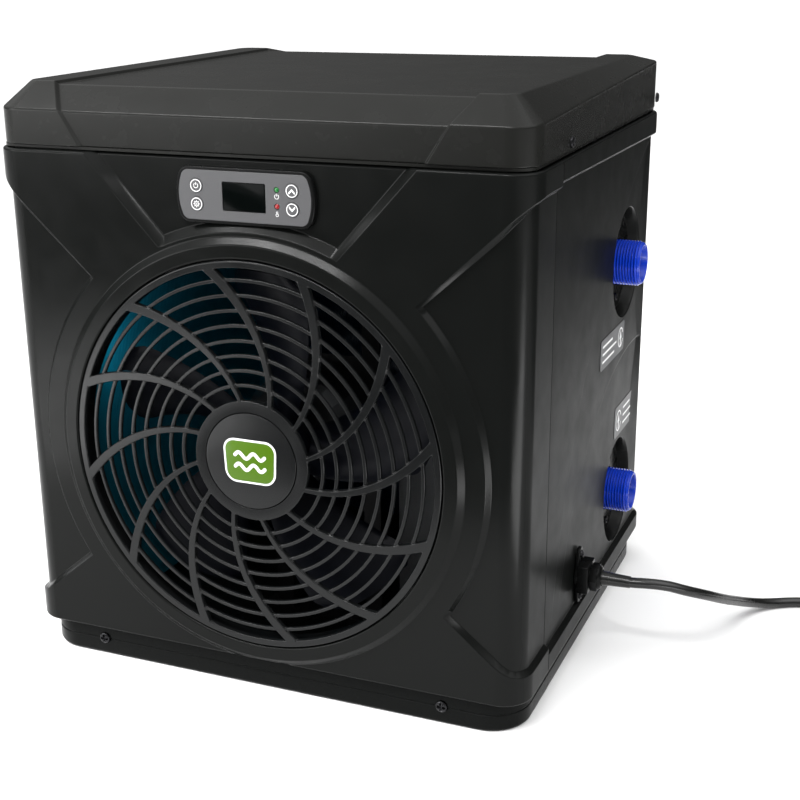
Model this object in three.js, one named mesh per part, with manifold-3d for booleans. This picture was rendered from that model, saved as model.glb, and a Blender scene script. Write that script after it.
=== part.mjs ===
// Compact pool and spa heat pump: moulded casing, axial fan, refrigerant circuit,
// water heat exchanger, keypad, mains lead and plug.
// Units are millimetres. X is to the right, Y to the rear, Z up. The origin is the
// middle of the base tray's underside, and the fan grille faces -Y.

import * as THREE from 'three';
import { mergeVertices } from 'three/addons/utils/BufferGeometryUtils.js';
import Module from 'manifold-3d';

const wasm = await Module();
wasm.setup();

// ---------------------------------------------------------------- driving sizes
const WIDTH = 400;
const DEPTH = 362;
const GAP = 0.3;                  // clearance between neighbouring pieces
const WALL = 3;                   // moulded wall thickness
const BASE_HEIGHT = 24;
const CASE_BOTTOM = BASE_HEIGHT + GAP;
const CASE_TOP = 388.5;           // at the front
const TOP_SLOPE = 0.0152;         // the casing's rim rises towards the rear
const CORNER = 22;                // casing corner radius
const RELIEF = 4;                 // side panels lie this far inside the bands
const PANEL_RELIEF = 6;           // keypad panel depth
const SEAM_Y = -120.5;            // joint between front and rear casing
const FRONT = -DEPTH / 2;

const FAN_Z = 181;                // fan and grille axis height
const GRILLE_R = 141.5;
const GRILLE_HUB_R = 44;
const GRILLE_OPEN_R = 136.3;
const RING_PITCH = 10.5;
const RING_COUNT = 8;
const RING_WIDTH = 2.6;
const RIB_COUNT = 12;
const RIB_SWEEP = 0.35 * Math.PI / 180;   // radians of sweep for each mm of radius
const BEZEL_RISE = 4;             // fan bezel stands this far in front of the casing
const BEZEL_TOP_R = 152;
const BEZEL_FOOT_R = 157;
const PANEL_ARC_R = 163;          // keypad panel's lower edge
const SIDE_ARC_R = 172;           // side panels' inner edge

const LID_HALF_X = 197.7;
const LID_HALF_Y = 178;
const LID_BOTTOM = 391;
const LID_CREASE = 415.5;
const LID_TOP = 433.5;
const LID_CHAMFER = 18;
const LID_RISE = 5.5;             // whole lid climbs to the rear
const LID_CREASE_RISE = 19;
const LID_RELIEF = 2.5;

const KEYPAD_Z = 364;
const KEYPAD_CAN = { halfX: 47, halfZ: 15, wall: 1.5, depth: 26 };   // tray behind the keypad
const PORT_Y = 94;                // water connectors
const PORT_Z = [86, 281];
const PORT_DISH_R = 44;
const PORT_FLOOR_X = 184;
const PORT_END_X = 209;
const THREAD_R = 18;
const BORE_R = 14;
const PORT_FLANGE_R = 40.2;
const PORT_SCREW_DZ = 29;
const GLAND = { x: WIDTH / 2 - RELIEF, y: -33, z: 63 };
const CORD_R = 4;
const FLOOR_Z = 4;                // inside floor of the base tray
const INNER_TOP = 378;            // upper edge of the inner sheet metal

const LOOKS = {                   // linear colour, roughness, metalness
  plastic: [[0.032, 0.034, 0.034], 0.5, 0],
  rubber: [[0.02, 0.02, 0.02], 0.7, 0],
  blue: [[0.0, 0.09, 0.62], 0.35, 0],
  keypad: [[0.16, 0.16, 0.17], 0.45, 0],
  keys: [[0.2, 0.2, 0.21], 0.45, 0],
  screen: [[0.01, 0.01, 0.01], 0.1, 0],
  circuit: [[0.02, 0.2, 0.06], 0.5, 0],
  red: [[0.6, 0.01, 0.02], 0.3, 0],
  green: [[0.02, 0.35, 0.05], 0.3, 0],
  badge: [[0.09, 0.22, 0.01], 0.4, 0],
  label: [[0.3, 0.3, 0.3], 0.5, 0],
  steel: [[0.45, 0.46, 0.47], 0.35, 1],
  copper: [[0.55, 0.25, 0.13], 0.35, 1],
  fins: [[0.0, 0.12, 0.25], 0.4, 0.5],
  pipework: [[0.6, 0.6, 0.58], 0.5, 0],
};

// ---------------------------------------------------------------- solids toolkit
const HALF_TURN = Math.PI;
const QUARTER = Math.PI / 2;

function signedVolume(geometry) {
  const p = geometry.attributes.position;
  const index = geometry.index;
  const count = index ? index.count : p.count;
  const corner = (i) => new THREE.Vector3().fromBufferAttribute(p, index ? index.getX(i) : i);
  let total = 0;
  for (let i = 0; i < count; i += 3) {
    total += corner(i).dot(corner(i + 1).cross(corner(i + 2)));
  }
  return total / 6;
}

function weld(geometry) {
  const bare = geometry.clone();
  bare.deleteAttribute('normal');
  bare.deleteAttribute('uv');
  const merged = mergeVertices(bare, 1e-3);
  if (signedVolume(merged) < 0) {
    const order = merged.index.array;
    for (let i = 0; i < order.length; i += 3) {
      [order[i], order[i + 1]] = [order[i + 1], order[i]];
    }
  }
  return merged;
}

function toSolid(geometry) {
  const merged = weld(geometry);
  return new wasm.Manifold(new wasm.Mesh({
    numProp: 3,
    vertProperties: merged.attributes.position.array,
    triVerts: new Uint32Array(merged.index.array),
  }));
}

function toGeometry(solid) {
  const mesh = solid.getMesh();
  const geometry = new THREE.BufferGeometry();
  const positions = new Float32Array(mesh.vertProperties);
  geometry.setAttribute('position', new THREE.BufferAttribute(positions, 3));
  geometry.setIndex(new THREE.BufferAttribute(new Uint32Array(mesh.triVerts), 1));
  geometry.computeVertexNormals();
  return geometry;
}

function join(...geometries) {
  return toGeometry(geometries.map(toSolid).reduce((a, b) => a.add(b)));
}

function cut(geometry, ...tools) {
  let solid = toSolid(geometry);
  for (const tool of tools) solid = solid.subtract(toSolid(tool));
  return toGeometry(solid);
}

function common(geometry, tool) {
  return toGeometry(toSolid(geometry).intersect(toSolid(tool)));
}

// Outline extruded along +Z, in plan.
function prism(shape, z0, z1, curveSegments = 8) {
  const options = { depth: z1 - z0, bevelEnabled: false, curveSegments };
  return new THREE.ExtrudeGeometry(shape, options).translate(0, 0, z0);
}

// Outline drawn in X and Z, seen from the front, filling y0 to y1.
function frontPlate(shape, y0, y1, curveSegments = 8) {
  return prism(shape, -y1, -y0, curveSegments).rotateX(QUARTER);
}

// Outline drawn in Y and Z, filling x0 to x1.
function sidePlate(shape, x0, x1, curveSegments = 8) {
  const turn = new THREE.Matrix4().makeBasis(
    new THREE.Vector3(0, 1, 0), new THREE.Vector3(0, 0, 1), new THREE.Vector3(1, 0, 0));
  return prism(shape, x0, x1, curveSegments).applyMatrix4(turn);
}

function box(x0, x1, y0, y1, z0, z1) {
  return new THREE.BoxGeometry(x1 - x0, y1 - y0, z1 - z0)
    .translate((x0 + x1) / 2, (y0 + y1) / 2, (z0 + z1) / 2);
}

// Profiles are [radius, height] pairs that start and end on the axis.
function turned(profile, segments) {
  return new THREE.LatheGeometry(profile.map(([r, h]) => new THREE.Vector2(r, h)), segments);
}
const turnedX = (profile, segments = 24) => turned(profile, segments).rotateZ(-QUARTER);
const turnedY = (profile, segments = 24) => turned(profile, segments);
const turnedZ = (profile, segments = 24) => turned(profile, segments).rotateX(QUARTER);

function drum(radius, h0, h1) {
  return [[0, h0], [radius, h0], [radius, h1], [0, h1]];
}

// Closed ring profile, for a washer or a coil.
function annulus(inner, outer, h0, h1) {
  return [[inner, h0], [outer, h0], [outer, h1], [inner, h1], [inner, h0]];
}

function rectangle(x0, x1, z0, z1) {
  const shape = new THREE.Shape();
  shape.moveTo(x0, z0).lineTo(x1, z0);
  shape.lineTo(x1, z1).lineTo(x0, z1);
  shape.closePath();
  return shape;
}

function roundedRectangle(halfX, halfZ, radius, cx = 0, cz = 0) {
  const shape = new THREE.Shape();
  const dx = halfX - radius;
  const dz = halfZ - radius;
  shape.absarc(cx + dx, cz - dz, radius, -QUARTER, 0);
  shape.absarc(cx + dx, cz + dz, radius, 0, QUARTER);
  shape.absarc(cx - dx, cz + dz, radius, QUARTER, HALF_TURN);
  shape.absarc(cx - dx, cz - dz, radius, HALF_TURN, HALF_TURN * 1.5);
  shape.closePath();
  return shape;
}

function disc(radius, cx = 0, cz = 0) {
  const shape = new THREE.Shape();
  shape.absarc(cx, cz, radius, 0, HALF_TURN * 2);
  return shape;
}

function polygon(points) {
  return new THREE.Shape(points.map(([a, b]) => new THREE.Vector2(a, b)));
}

function mirrorX(points) {
  return points.map(([x, z]) => [-x, z]).reverse();
}

// Bent rod or pipe: straight runs joined by bends that start `bend` before each corner.
function bentPath(points, bend) {
  const path = new THREE.CurvePath();
  const corners = points.map((p) => new THREE.Vector3(...p));
  let from = corners[0];
  const towards = (a, b) => a.clone().lerp(b, bend / a.distanceTo(b));
  for (let i = 1; i < corners.length - 1; i += 1) {
    const before = towards(corners[i], corners[i - 1]);
    const after = towards(corners[i], corners[i + 1]);
    path.add(new THREE.LineCurve3(from, before));
    path.add(new THREE.QuadraticBezierCurve3(before, corners[i], after));
    from = after;
  }
  path.add(new THREE.LineCurve3(from, corners[corners.length - 1]));
  return path;
}

function tube(path, radius, sides, steps) {
  const section = new THREE.Shape();
  for (let i = 0; i < sides; i += 1) {
    const a = (i / sides) * HALF_TURN * 2;
    const place = i === 0 ? 'moveTo' : 'lineTo';
    section[place](radius * Math.cos(a), radius * Math.sin(a));
  }
  section.closePath();
  return new THREE.ExtrudeGeometry(section, { steps, bevelEnabled: false, extrudePath: path });
}

function pipe(points, radius, bend, steps) {
  return tube(bentPath(points, bend), radius, 8, steps);
}

// ---------------------------------------------------------------- assembly
const unit = new THREE.Group();

function add(name, geometry, look, place = [0, 0, 0]) {
  const [color, roughness, metalness] = LOOKS[look];
  const material = new THREE.MeshStandardMaterial({ roughness, metalness });
  material.color.setRGB(...color);
  const mesh = new THREE.Mesh(weld(geometry), material);
  mesh.name = name;
  mesh.position.set(...place);
  unit.add(mesh);
  return mesh;
}

// ---------------------------------------------------------------- base tray
const BASE = { inset: 5, wall: 4, corner: 30 };
const BASE_SCREWS_X = [-139, 139];
const BASE_SCREW_Z = 14;

function baseTray() {
  const halfX = WIDTH / 2 - BASE.inset;
  const halfY = DEPTH / 2 - BASE.inset;
  const tray = prism(roundedRectangle(halfX, halfY, BASE.corner), 0, BASE_HEIGHT, 6);
  const hollow = roundedRectangle(halfX - BASE.wall, halfY - BASE.wall, BASE.corner - BASE.wall);
  const well = prism(hollow, FLOOR_Z, BASE_HEIGHT + 1, 6);
  const holes = BASE_SCREWS_X.map((x) => (
    turnedY(drum(2.2, FRONT, FRONT + 20), 10).translate(x, 0, BASE_SCREW_Z)));
  return cut(tray, well, ...holes);
}

// ---------------------------------------------------------------- casing
function caseBlock(inset, z0, z1) {
  const outline = roundedRectangle(WIDTH / 2 - inset, DEPTH / 2 - inset, CORNER - inset / 2);
  return prism(outline, z0, z1, 5);
}

// Points on a circle about the fan axis, from one angle to another in degrees.
function fanArc(radius, fromDeg, toDeg, count) {
  const points = [];
  for (let i = 0; i <= count; i += 1) {
    const a = (fromDeg + (toDeg - fromDeg) * (i / count)) * HALF_TURN / 180;
    points.push([radius * Math.cos(a), FAN_Z + radius * Math.sin(a)]);
  }
  return points;
}

const FRONT_BAND_LOW = 45;        // plain bands below and above the side panels
const FRONT_BAND_HIGH = 371.5;
const REAR_BAND_LOW = 39.5;
const REAR_BAND_HIGH = 375;
const PANEL_TOP_HALF = 119;       // keypad panel's half width at the rim

// D-shaped side panel, open to the outside past the corner.
function sidePanelOutline() {
  const outside = WIDTH / 2 + 10;
  return [
    ...fanArc(SIDE_ARC_R, -33.7, 44.1, 10),
    [201, FRONT_BAND_HIGH], [outside, FRONT_BAND_HIGH],
    [outside, FRONT_BAND_LOW], [189, 48],
  ];
}

// Keypad panel: wide at the rim, with a lower edge that follows the fan.
function keypadPanelOutline(grow) {
  const half = PANEL_TOP_HALF + grow;
  return [
    [half, CASE_TOP + 12], [-half, CASE_TOP + 12], [-half, CASE_TOP],
    ...fanArc(PANEL_ARC_R - grow, 114, 66, 8),
    [half, CASE_TOP],
  ];
}

function slopedTop(geometry) {
  const p = geometry.attributes.position;
  for (let i = 0; i < p.count; i += 1) {
    if (p.getZ(i) > REAR_BAND_HIGH + 1) {
      p.setZ(i, p.getZ(i) + TOP_SLOPE * (p.getY(i) + DEPTH / 2));
    }
  }
  return geometry;
}

function frontCasing() {
  const back = SEAM_Y - GAP / 2;
  const inside = RELIEF + WALL;
  const cutters = [sidePanelOutline(), mirrorX(sidePanelOutline())]
    .map((outline) => frontPlate(polygon(outline), FRONT - 10, back + 1));
  const relief = (cutter) => cut(cutter, caseBlock(RELIEF, 0, CASE_TOP + 20));
  const body = cut(
    caseBlock(0, CASE_BOTTOM, CASE_TOP), ...cutters.map(relief),
    frontPlate(polygon(keypadPanelOutline(0)), FRONT - 10, FRONT + PANEL_RELIEF),
    box(-WIDTH, WIDTH, back, DEPTH, -10, CASE_TOP + 40));
  const cavity = cut(
    caseBlock(inside, 0, CASE_TOP + 20),
    common(
      frontPlate(polygon(keypadPanelOutline(WALL)), FRONT, FRONT + PANEL_RELIEF + WALL),
      caseBlock(inside - 1, 0, CASE_TOP + 30)));
  const opening = turnedY(drum(GRILLE_R + 0.8, FRONT - 20, FRONT + 30), 48).translate(0, 0, FAN_Z);
  return slopedTop(cut(join(cut(body, cavity), fanBezel()), opening, keypadHole()));
}

function fanBezel() {
  const inner = GRILLE_R - 6;
  const root = FRONT + 1;
  return turnedY([
    [inner, root], [inner, FRONT - BEZEL_RISE], [BEZEL_TOP_R, FRONT - BEZEL_RISE],
    [BEZEL_FOOT_R, root], [inner, root],
  ], 48).translate(0, 0, FAN_Z);
}

function keypadHole() {
  const halfX = KEYPAD_CAN.halfX + 2 * GAP;
  const halfZ = KEYPAD_CAN.halfZ + 2 * GAP;
  return box(-halfX, halfX, FRONT, FRONT + 30, KEYPAD_Z - halfZ, KEYPAD_Z + halfZ);
}

const VENT_HEIGHT = 10;
const VENT_PITCH = 24;
const VENT_ROWS = 12;
const VENT_Z0 = 66;
const LEFT_VENTS = [[-96, -12], [4, 88]];                 // columns in Y
const REAR_VENTS = [[-170, -104], [-92, -26], [-14, 40]]; // columns in X

// Horizontal louvre slots in columns, as cutters through a wall.
function ventCutters(columns, makeBox) {
  const cutters = [];
  for (const [from, to] of columns) {
    for (let row = 0; row < VENT_ROWS; row += 1) {
      const z = VENT_Z0 + row * VENT_PITCH;
      cutters.push(makeBox(from, to, z, z + VENT_HEIGHT));
    }
  }
  return cutters;
}

function portDish(z) {
  const rim = WIDTH / 2 + 1;
  const floor = PORT_FLOOR_X;
  return turnedX([[0, floor], [PORT_DISH_R - 3, floor], [PORT_DISH_R, rim], [0, rim]], 24)
    .translate(0, PORT_Y, z);
}

function flangeScrewHoles() {
  return [-1, 1].map((side) => (
    turnedX(drum(1.6, PORT_FLOOR_X - 8, PORT_FLOOR_X + 11), 8).translate(0, 0, side * PORT_SCREW_DZ)));
}

function rearCasing() {
  const front = SEAM_Y + GAP / 2;
  const inside = RELIEF + WALL;
  const bands = cut(
    caseBlock(0, CASE_BOTTOM, CASE_TOP),
    cut(box(-WIDTH, WIDTH, -DEPTH, DEPTH, REAR_BAND_LOW, REAR_BAND_HIGH),
      caseBlock(RELIEF, 0, CASE_TOP + 20)));
  const shell = cut(bands, caseBlock(inside, 0, CASE_TOP + 20),
    box(-WIDTH, WIDTH, -DEPTH, front, -10, CASE_TOP + 40));
  const cup = turnedX(drum(PORT_DISH_R + WALL, PORT_FLOOR_X - WALL, WIDTH / 2 - RELIEF), 24);
  const cups = PORT_Z.map((z) => cup.clone().translate(0, PORT_Y, z));
  const dishes = PORT_Z.map(portDish);
  const bore = turnedX(drum(THREAD_R + 1, 150, WIDTH / 2 + 1), 16);
  const bores = PORT_Z.map((z) => bore.clone().translate(0, PORT_Y, z));
  const glandHole = turnedX(drum(9, 180, 210), 16).translate(0, GLAND.y, GLAND.z);
  const leftVents = ventCutters(LEFT_VENTS, (from, to, z0, z1) => (
    box(-WIDTH, inside - WIDTH / 2, from, to, z0, z1)));
  const rearVents = ventCutters(REAR_VENTS, (from, to, z0, z1) => (
    box(from, to, DEPTH / 2 - inside, DEPTH, z0, z1)));
  const screwHoles = PORT_Z.flatMap((z) => flangeScrewHoles().map((hole) => (
    hole.translate(0, PORT_Y, z))));
  return slopedTop(cut(join(shell, ...cups), ...dishes, ...bores, glandHole,
    ...leftVents, ...rearVents, ...screwHoles));
}

// ---------------------------------------------------------------- lid
function outlinePoints(halfX, halfY, radius) {
  return roundedRectangle(halfX, halfY, radius).getPoints(4);
}

// Closed loft through level rings of equal point count; each ring also climbs to the rear.
function loft(rings) {
  const positions = [];
  const index = [];
  const count = rings[0].points.length;
  for (const { points, z, rise } of rings) {
    for (const p of points) {
      positions.push(p.x, p.y, z + rise * (p.y / DEPTH + 0.5));
    }
  }
  for (let k = 0; k < rings.length - 1; k += 1) {
    for (let i = 0; i < count; i += 1) {
      const a = k * count + i;
      const b = k * count + (i + 1) % count;
      index.push(a, b, b + count, a, b + count, a + count);
    }
  }
  const last = (rings.length - 1) * count;
  for (let i = 1; i < count - 1; i += 1) {
    index.push(0, i + 1, i, last, last + i, last + i + 1);
  }
  const geometry = new THREE.BufferGeometry();
  geometry.setAttribute('position', new THREE.Float32BufferAttribute(positions, 3));
  geometry.setIndex(index);
  return geometry;
}

function lidBlock(inset, bottom) {
  const ring = (extra, radius) => {
    const points = outlinePoints(LID_HALF_X - inset - extra, LID_HALF_Y - inset - extra, radius);
    points.pop();
    return points;
  };
  return loft([
    { points: ring(0, 20), z: bottom, rise: LID_RISE },
    { points: ring(0, 20), z: LID_CREASE - inset / 2, rise: LID_CREASE_RISE },
    { points: ring(LID_CHAMFER, 10), z: LID_TOP - inset, rise: LID_RISE },
  ]);
}

const LID_SCREWS = [[-96, 398.6], [165, 404.5]];          // Y and Z

// Locating rim that drops inside the casing's mouth, with a foot that joins it to the lid.
function lidRim() {
  const bore = roundedRectangle(LID_HALF_X - 7.5, LID_HALF_Y - 8.7, 12);
  const ring = (inset, z0, z1) => cut(
    prism(roundedRectangle(LID_HALF_X - inset, LID_HALF_Y - inset - 1.2, 14), z0, z1, 2),
    prism(bore, z0 - 1, z1 + 1, 2));
  const foot = ring(2.7, LID_BOTTOM + 1.5, LID_BOTTOM + 4);
  const rim = join(ring(5.3, LID_BOTTOM - 11, LID_BOTTOM + 3), foot);
  const p = rim.attributes.position;
  for (let i = 0; i < p.count; i += 1) {
    p.setZ(i, p.getZ(i) + LID_RISE * (p.getY(i) / DEPTH + 0.5));
  }
  return rim;
}

function topLid() {
  const outline = [
    [120, LID_BOTTOM - 20], [120, LID_BOTTOM], [142, LID_CREASE], [155, LID_TOP], [155, LID_TOP + 20],
  ];
  const middle = frontPlate(polygon([...outline, ...mirrorX(outline)]), -DEPTH, DEPTH);
  const raised = cut(lidBlock(0, LID_BOTTOM), middle);
  const solid = join(raised, lidBlock(LID_RELIEF, LID_BOTTOM));
  const hollow = lidBlock(LID_RELIEF + WALL, LID_BOTTOM - 5);
  const holes = [-1, 1].flatMap((side) => LID_SCREWS.map(([y, z]) => (
    turnedX(drum(2, LID_HALF_X - 13, LID_HALF_X + 7), 8).scale(side, 1, 1).translate(0, y, z))));
  return cut(join(cut(solid, hollow), lidRim()), ...holes);
}

// ---------------------------------------------------------------- fan grille
const RIB_HUB_WIDTH = 3.2;
const RIB_RIM_WIDTH = 8.5;
const RIB_START = 9 * HALF_TURN / 180;
const HUB_CAP_R = 35;
const HUB_FACE = FRONT - BEZEL_RISE - 0.2;

function ribAngle(k, radius) {
  return RIB_START + (k / RIB_COUNT) * HALF_TURN * 2 + RIB_SWEEP * (radius - GRILLE_HUB_R);
}

function ribHalfAngle(radius) {
  const along = (radius - GRILLE_HUB_R) / (GRILLE_OPEN_R - GRILLE_HUB_R);
  return (RIB_HUB_WIDTH + (RIB_RIM_WIDTH - RIB_HUB_WIDTH) * along) / 2 / radius * 1.1;
}

function grilleCell(k, inner, outer) {
  const at = (radius, t) => {
    const from = ribAngle(k, radius) + ribHalfAngle(radius);
    const to = ribAngle(k + 1, radius) - ribHalfAngle(radius);
    const a = from + (to - from) * t;
    return new THREE.Vector2(radius * Math.cos(a), FAN_Z + radius * Math.sin(a));
  };
  return new THREE.Path([
    at(inner, 1), at(inner, 0.5), at(inner, 0), at(outer, 0), at(outer, 0.5), at(outer, 1),
  ]);
}

function fanGrille() {
  const edges = [GRILLE_HUB_R];
  for (let i = 1; i <= RING_COUNT; i += 1) {
    const middle = GRILLE_HUB_R + RING_PITCH * i;
    edges.push(middle - RING_WIDTH / 2, middle + RING_WIDTH / 2);
  }
  edges.push(GRILLE_OPEN_R);
  const plate = disc(GRILLE_R, 0, FAN_Z);
  for (let i = 0; i < edges.length; i += 2) {
    for (let k = 0; k < RIB_COUNT; k += 1) {
      plate.holes.push(grilleCell(k, edges[i], edges[i + 1]));
    }
  }
  const face = frontPlate(plate, FRONT - BEZEL_RISE, FRONT, 24);
  const inner = GRILLE_OPEN_R + 1;
  const outer = GRILLE_R - 1;
  const flange = GRILLE_R + 5;
  const skirt = turnedY([
    [inner, FRONT - 1], [outer, FRONT - 1], [outer, FRONT + 7.5], [flange, FRONT + 7.5],
    [flange, FRONT + 10], [inner, FRONT + 10], [inner, FRONT - 1],
  ], 36).translate(0, 0, FAN_Z);
  const pocket = turnedY(drum(HUB_CAP_R + 0.4, FRONT - 10, FRONT - BEZEL_RISE + 1.7), 32);
  return cut(join(face, skirt), pocket.translate(0, 0, FAN_Z));
}

function hubCap() {
  return turnedY(drum(HUB_CAP_R, HUB_FACE, HUB_FACE + 1.4), 32).translate(0, 0, FAN_Z);
}

function hubBadge() {
  return frontPlate(roundedRectangle(20, 16, 9, 0, FAN_Z), HUB_FACE - 0.9, HUB_FACE - GAP, 4);
}

// ---------------------------------------------------------------- keypad
const KEY_X = 35.5;
const KEY_DZ = 6.1;
const KEY_R = 4.8;
const KEYPAD_BACK = FRONT + PANEL_RELIEF - GAP;
const OVERLAY_FACE = KEYPAD_BACK - 4;
const LED_X = 24.3;
const LED_Z = [359.3, 370.2];
const SCREEN = { halfX: 15.8, halfZ: 9.4 };
const KEYS = [
  ['power_button', -KEY_X, KEYPAD_Z + KEY_DZ], ['mode_button', -KEY_X, KEYPAD_Z - KEY_DZ],
  ['up_button', KEY_X, KEYPAD_Z + KEY_DZ], ['down_button', KEY_X, KEYPAD_Z - KEY_DZ],
];

// Straight top and bottom edges with sides that bow outwards.
function keypadOutline(grow) {
  const halfX = 45.2 + grow;
  const halfZ = 16.7 + grow;
  const shape = new THREE.Shape();
  shape.moveTo(-halfX, -halfZ).lineTo(halfX, -halfZ);
  shape.quadraticCurveTo(halfX + 8, 0, halfX, halfZ);
  shape.lineTo(-halfX, halfZ);
  shape.quadraticCurveTo(-halfX - 8, 0, -halfX, -halfZ);
  return shape;
}

function atKeypad(geometry) {
  return geometry.translate(0, 0, KEYPAD_Z);
}

function keypadFrame() {
  const rim = frontPlate(keypadOutline(2.2), KEYPAD_BACK - 2.4, KEYPAD_BACK, 6);
  const { halfX, halfZ, wall, depth } = KEYPAD_CAN;
  const can = box(-halfX, halfX, KEYPAD_BACK - 1, FRONT + depth, -halfZ, halfZ);
  const pocket = box(
    wall - halfX, halfX - wall, FRONT - 10, FRONT + depth - 2, wall - halfZ, halfZ - wall);
  return atKeypad(cut(join(rim, can), pocket));
}

function keypadOverlay() {
  const shape = keypadOutline(0);
  const holes = [
    ...KEYS.map(([, x, z]) => disc(KEY_R + 0.4, x, z - KEYPAD_Z)),
    ...LED_Z.map((z) => disc(2.1, LED_X, z - KEYPAD_Z)),
    roundedRectangle(SCREEN.halfX + 0.4, SCREEN.halfZ + 0.4, 1),
  ];
  shape.holes.push(...holes);
  return atKeypad(frontPlate(shape, OVERLAY_FACE, OVERLAY_FACE + 1.3, 4));
}

function displayWindow() {
  const shape = roundedRectangle(SCREEN.halfX, SCREEN.halfZ, 0.8);
  return atKeypad(frontPlate(shape, OVERLAY_FACE - 0.1, OVERLAY_FACE + 6, 3));
}

function controlBoard() {
  return atKeypad(box(-44.5, 44.5, OVERLAY_FACE + 11, OVERLAY_FACE + 12.6, -13, 13));
}

// Round cap with a retaining collar and a stem that reaches the switch on the board.
function keyCap() {
  const collar = KEY_R + 0.9;
  return turnedY([
    [0, 0], [KEY_R, 0], [KEY_R, 2.4], [collar, 2.4], [collar, 3.6], [2, 3.6], [2, 9.5], [0, 9.5],
  ], 10);
}

function led() {
  return turnedY([[0, -0.3], [1.2, -0.2], [1.8, 0.3], [1.8, 8], [0, 8]], 10);
}

// ---------------------------------------------------------------- fan
const FAN_Y = -148;               // middle of the blades
const FAN_HUB_R = 30;
const FAN_HUB_DEPTH = 36;
const FAN_TIP_R = 128;
const BLADE_COUNT = 5;
const SHAFT_R = 4;

// One twisted blade: a thin plate lofted from hub to tip.
function fanBlade(turn) {
  const stations = 5;
  const chordSteps = 4;
  const positions = [];
  const index = [];
  const row = (chordSteps + 1) * 2;
  for (let s = 0; s < stations; s += 1) {
    const t = s / (stations - 1);
    const radius = FAN_HUB_R - 4 + (FAN_TIP_R - FAN_HUB_R + 4) * t;
    const pitch = (38 - 16 * t) * HALF_TURN / 180;
    const chord = 34 + 52 * t;
    const lean = 0.35 * t;
    for (const side of [1, -1]) {
      for (let c = 0; c <= chordSteps; c += 1) {
        const u = (c / chordSteps - 0.5);
        const camber = 5 * (1 - 4 * u * u);
        const half = side * (0.5 + 1.1 * (1 - 4 * u * u));
        const across = u * chord * Math.cos(pitch);
        const depth = u * chord * Math.sin(pitch) - camber + half;
        const a = turn + lean + across / radius;
        positions.push(radius * Math.cos(a), FAN_Y + depth, FAN_Z + radius * Math.sin(a));
      }
    }
  }
  const loop = (s) => {
    const ring = [];
    for (let c = 0; c <= chordSteps; c += 1) ring.push(s * row + c);
    for (let c = chordSteps; c >= 0; c -= 1) ring.push(s * row + chordSteps + 1 + c);
    return ring;
  };
  for (let s = 0; s < stations - 1; s += 1) {
    const a = loop(s);
    const b = loop(s + 1);
    for (let i = 0; i < row; i += 1) {
      const j = (i + 1) % row;
      index.push(a[i], b[i], b[j], a[i], b[j], a[j]);
    }
  }
  for (let c = 0; c < chordSteps; c += 1) {
    const n = chordSteps + 1;
    const tip = (stations - 1) * row;
    index.push(c, c + 1, c + 1 + n, c, c + 1 + n, c + n);
    index.push(tip + c, tip + c + 1 + n, tip + c + 1, tip + c, tip + c + n, tip + c + 1 + n);
  }
  const geometry = new THREE.BufferGeometry();
  geometry.setAttribute('position', new THREE.Float32BufferAttribute(positions, 3));
  geometry.setIndex(index);
  return geometry;
}

function fanWheel() {
  const front = FAN_Y - FAN_HUB_DEPTH / 2;
  const back = FAN_Y + FAN_HUB_DEPTH / 2;
  const hub = turnedY([
    [0, front], [FAN_HUB_R - 8, front], [FAN_HUB_R, front + 8], [FAN_HUB_R, back], [0, back],
  ], 20).translate(0, 0, FAN_Z);
  const blades = [];
  for (let i = 0; i < BLADE_COUNT; i += 1) {
    blades.push(fanBlade((i / BLADE_COUNT) * HALF_TURN * 2));
  }
  return cut(join(hub, ...blades), shaftBore().translate(0, 0, FAN_Z));
}

function shaftBore() {
  return turnedY(drum(SHAFT_R + GAP, FAN_Y - 30, FAN_Y + 30), 12);
}

function fanShaft() {
  return turnedY(drum(SHAFT_R, FAN_Y - 26, MOTOR.front + 22), 12);
}

function fanNut() {
  const back = FAN_Y - FAN_HUB_DEPTH / 2 - GAP;
  return cut(turnedY(drum(8, back - 6.2, back), 6), shaftBore());
}

const MOTOR = { front: -118, back: -64, r: 43, edge: 6, boss: 14, bossRise: 4 };

function fanMotor() {
  const { front, back, r, edge, boss, bossRise } = MOTOR;
  const socketR = SHAFT_R + 1;
  const socketFloor = front + 24;
  return turnedY([
    [0, socketFloor], [socketR, socketFloor], [socketR, front - bossRise], [boss, front - bossRise],
    [boss, front], [r - edge, front], [r, front + edge], [r, back - edge], [r - edge, back], [0, back],
  ], 20).translate(0, 0, FAN_Z);
}

const BRACKET = { half: 46, railWidth: 14, sheet: 2, footHalf: 60, footDepth: 20, hole: 16 };

// Two upright rails and a plate behind the motor, on a foot.
function motorBracket() {
  const { half, railWidth, sheet, footHalf, footDepth, hole } = BRACKET;
  const z0 = FLOOR_Z + GAP;
  const y0 = MOTOR.back + GAP;
  const rails = [-half, half - railWidth].map((x) => (
    frontPlate(rectangle(x, x + railWidth, z0, INNER_TOP), y0, y0 + sheet)));
  const plate = frontPlate(rectangle(-half, half, FAN_Z - half, FAN_Z + half), y0, y0 + sheet);
  const foot = box(-footHalf, footHalf, y0, MOTOR.back + footDepth, z0, z0 + sheet);
  return cut(join(...rails, plate, foot), frontPlate(disc(hole, 0, FAN_Z), y0 - 5, y0 + 5));
}

// ---------------------------------------------------------------- refrigerant circuit
const COIL_DEPTH = 22;
const COIL_LEFT = -188;
const COIL_REAR = 171;
const COIL_END_X = 45;
const LIQUID_Z = 75;
const SUCTION_Z = 243;

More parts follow.
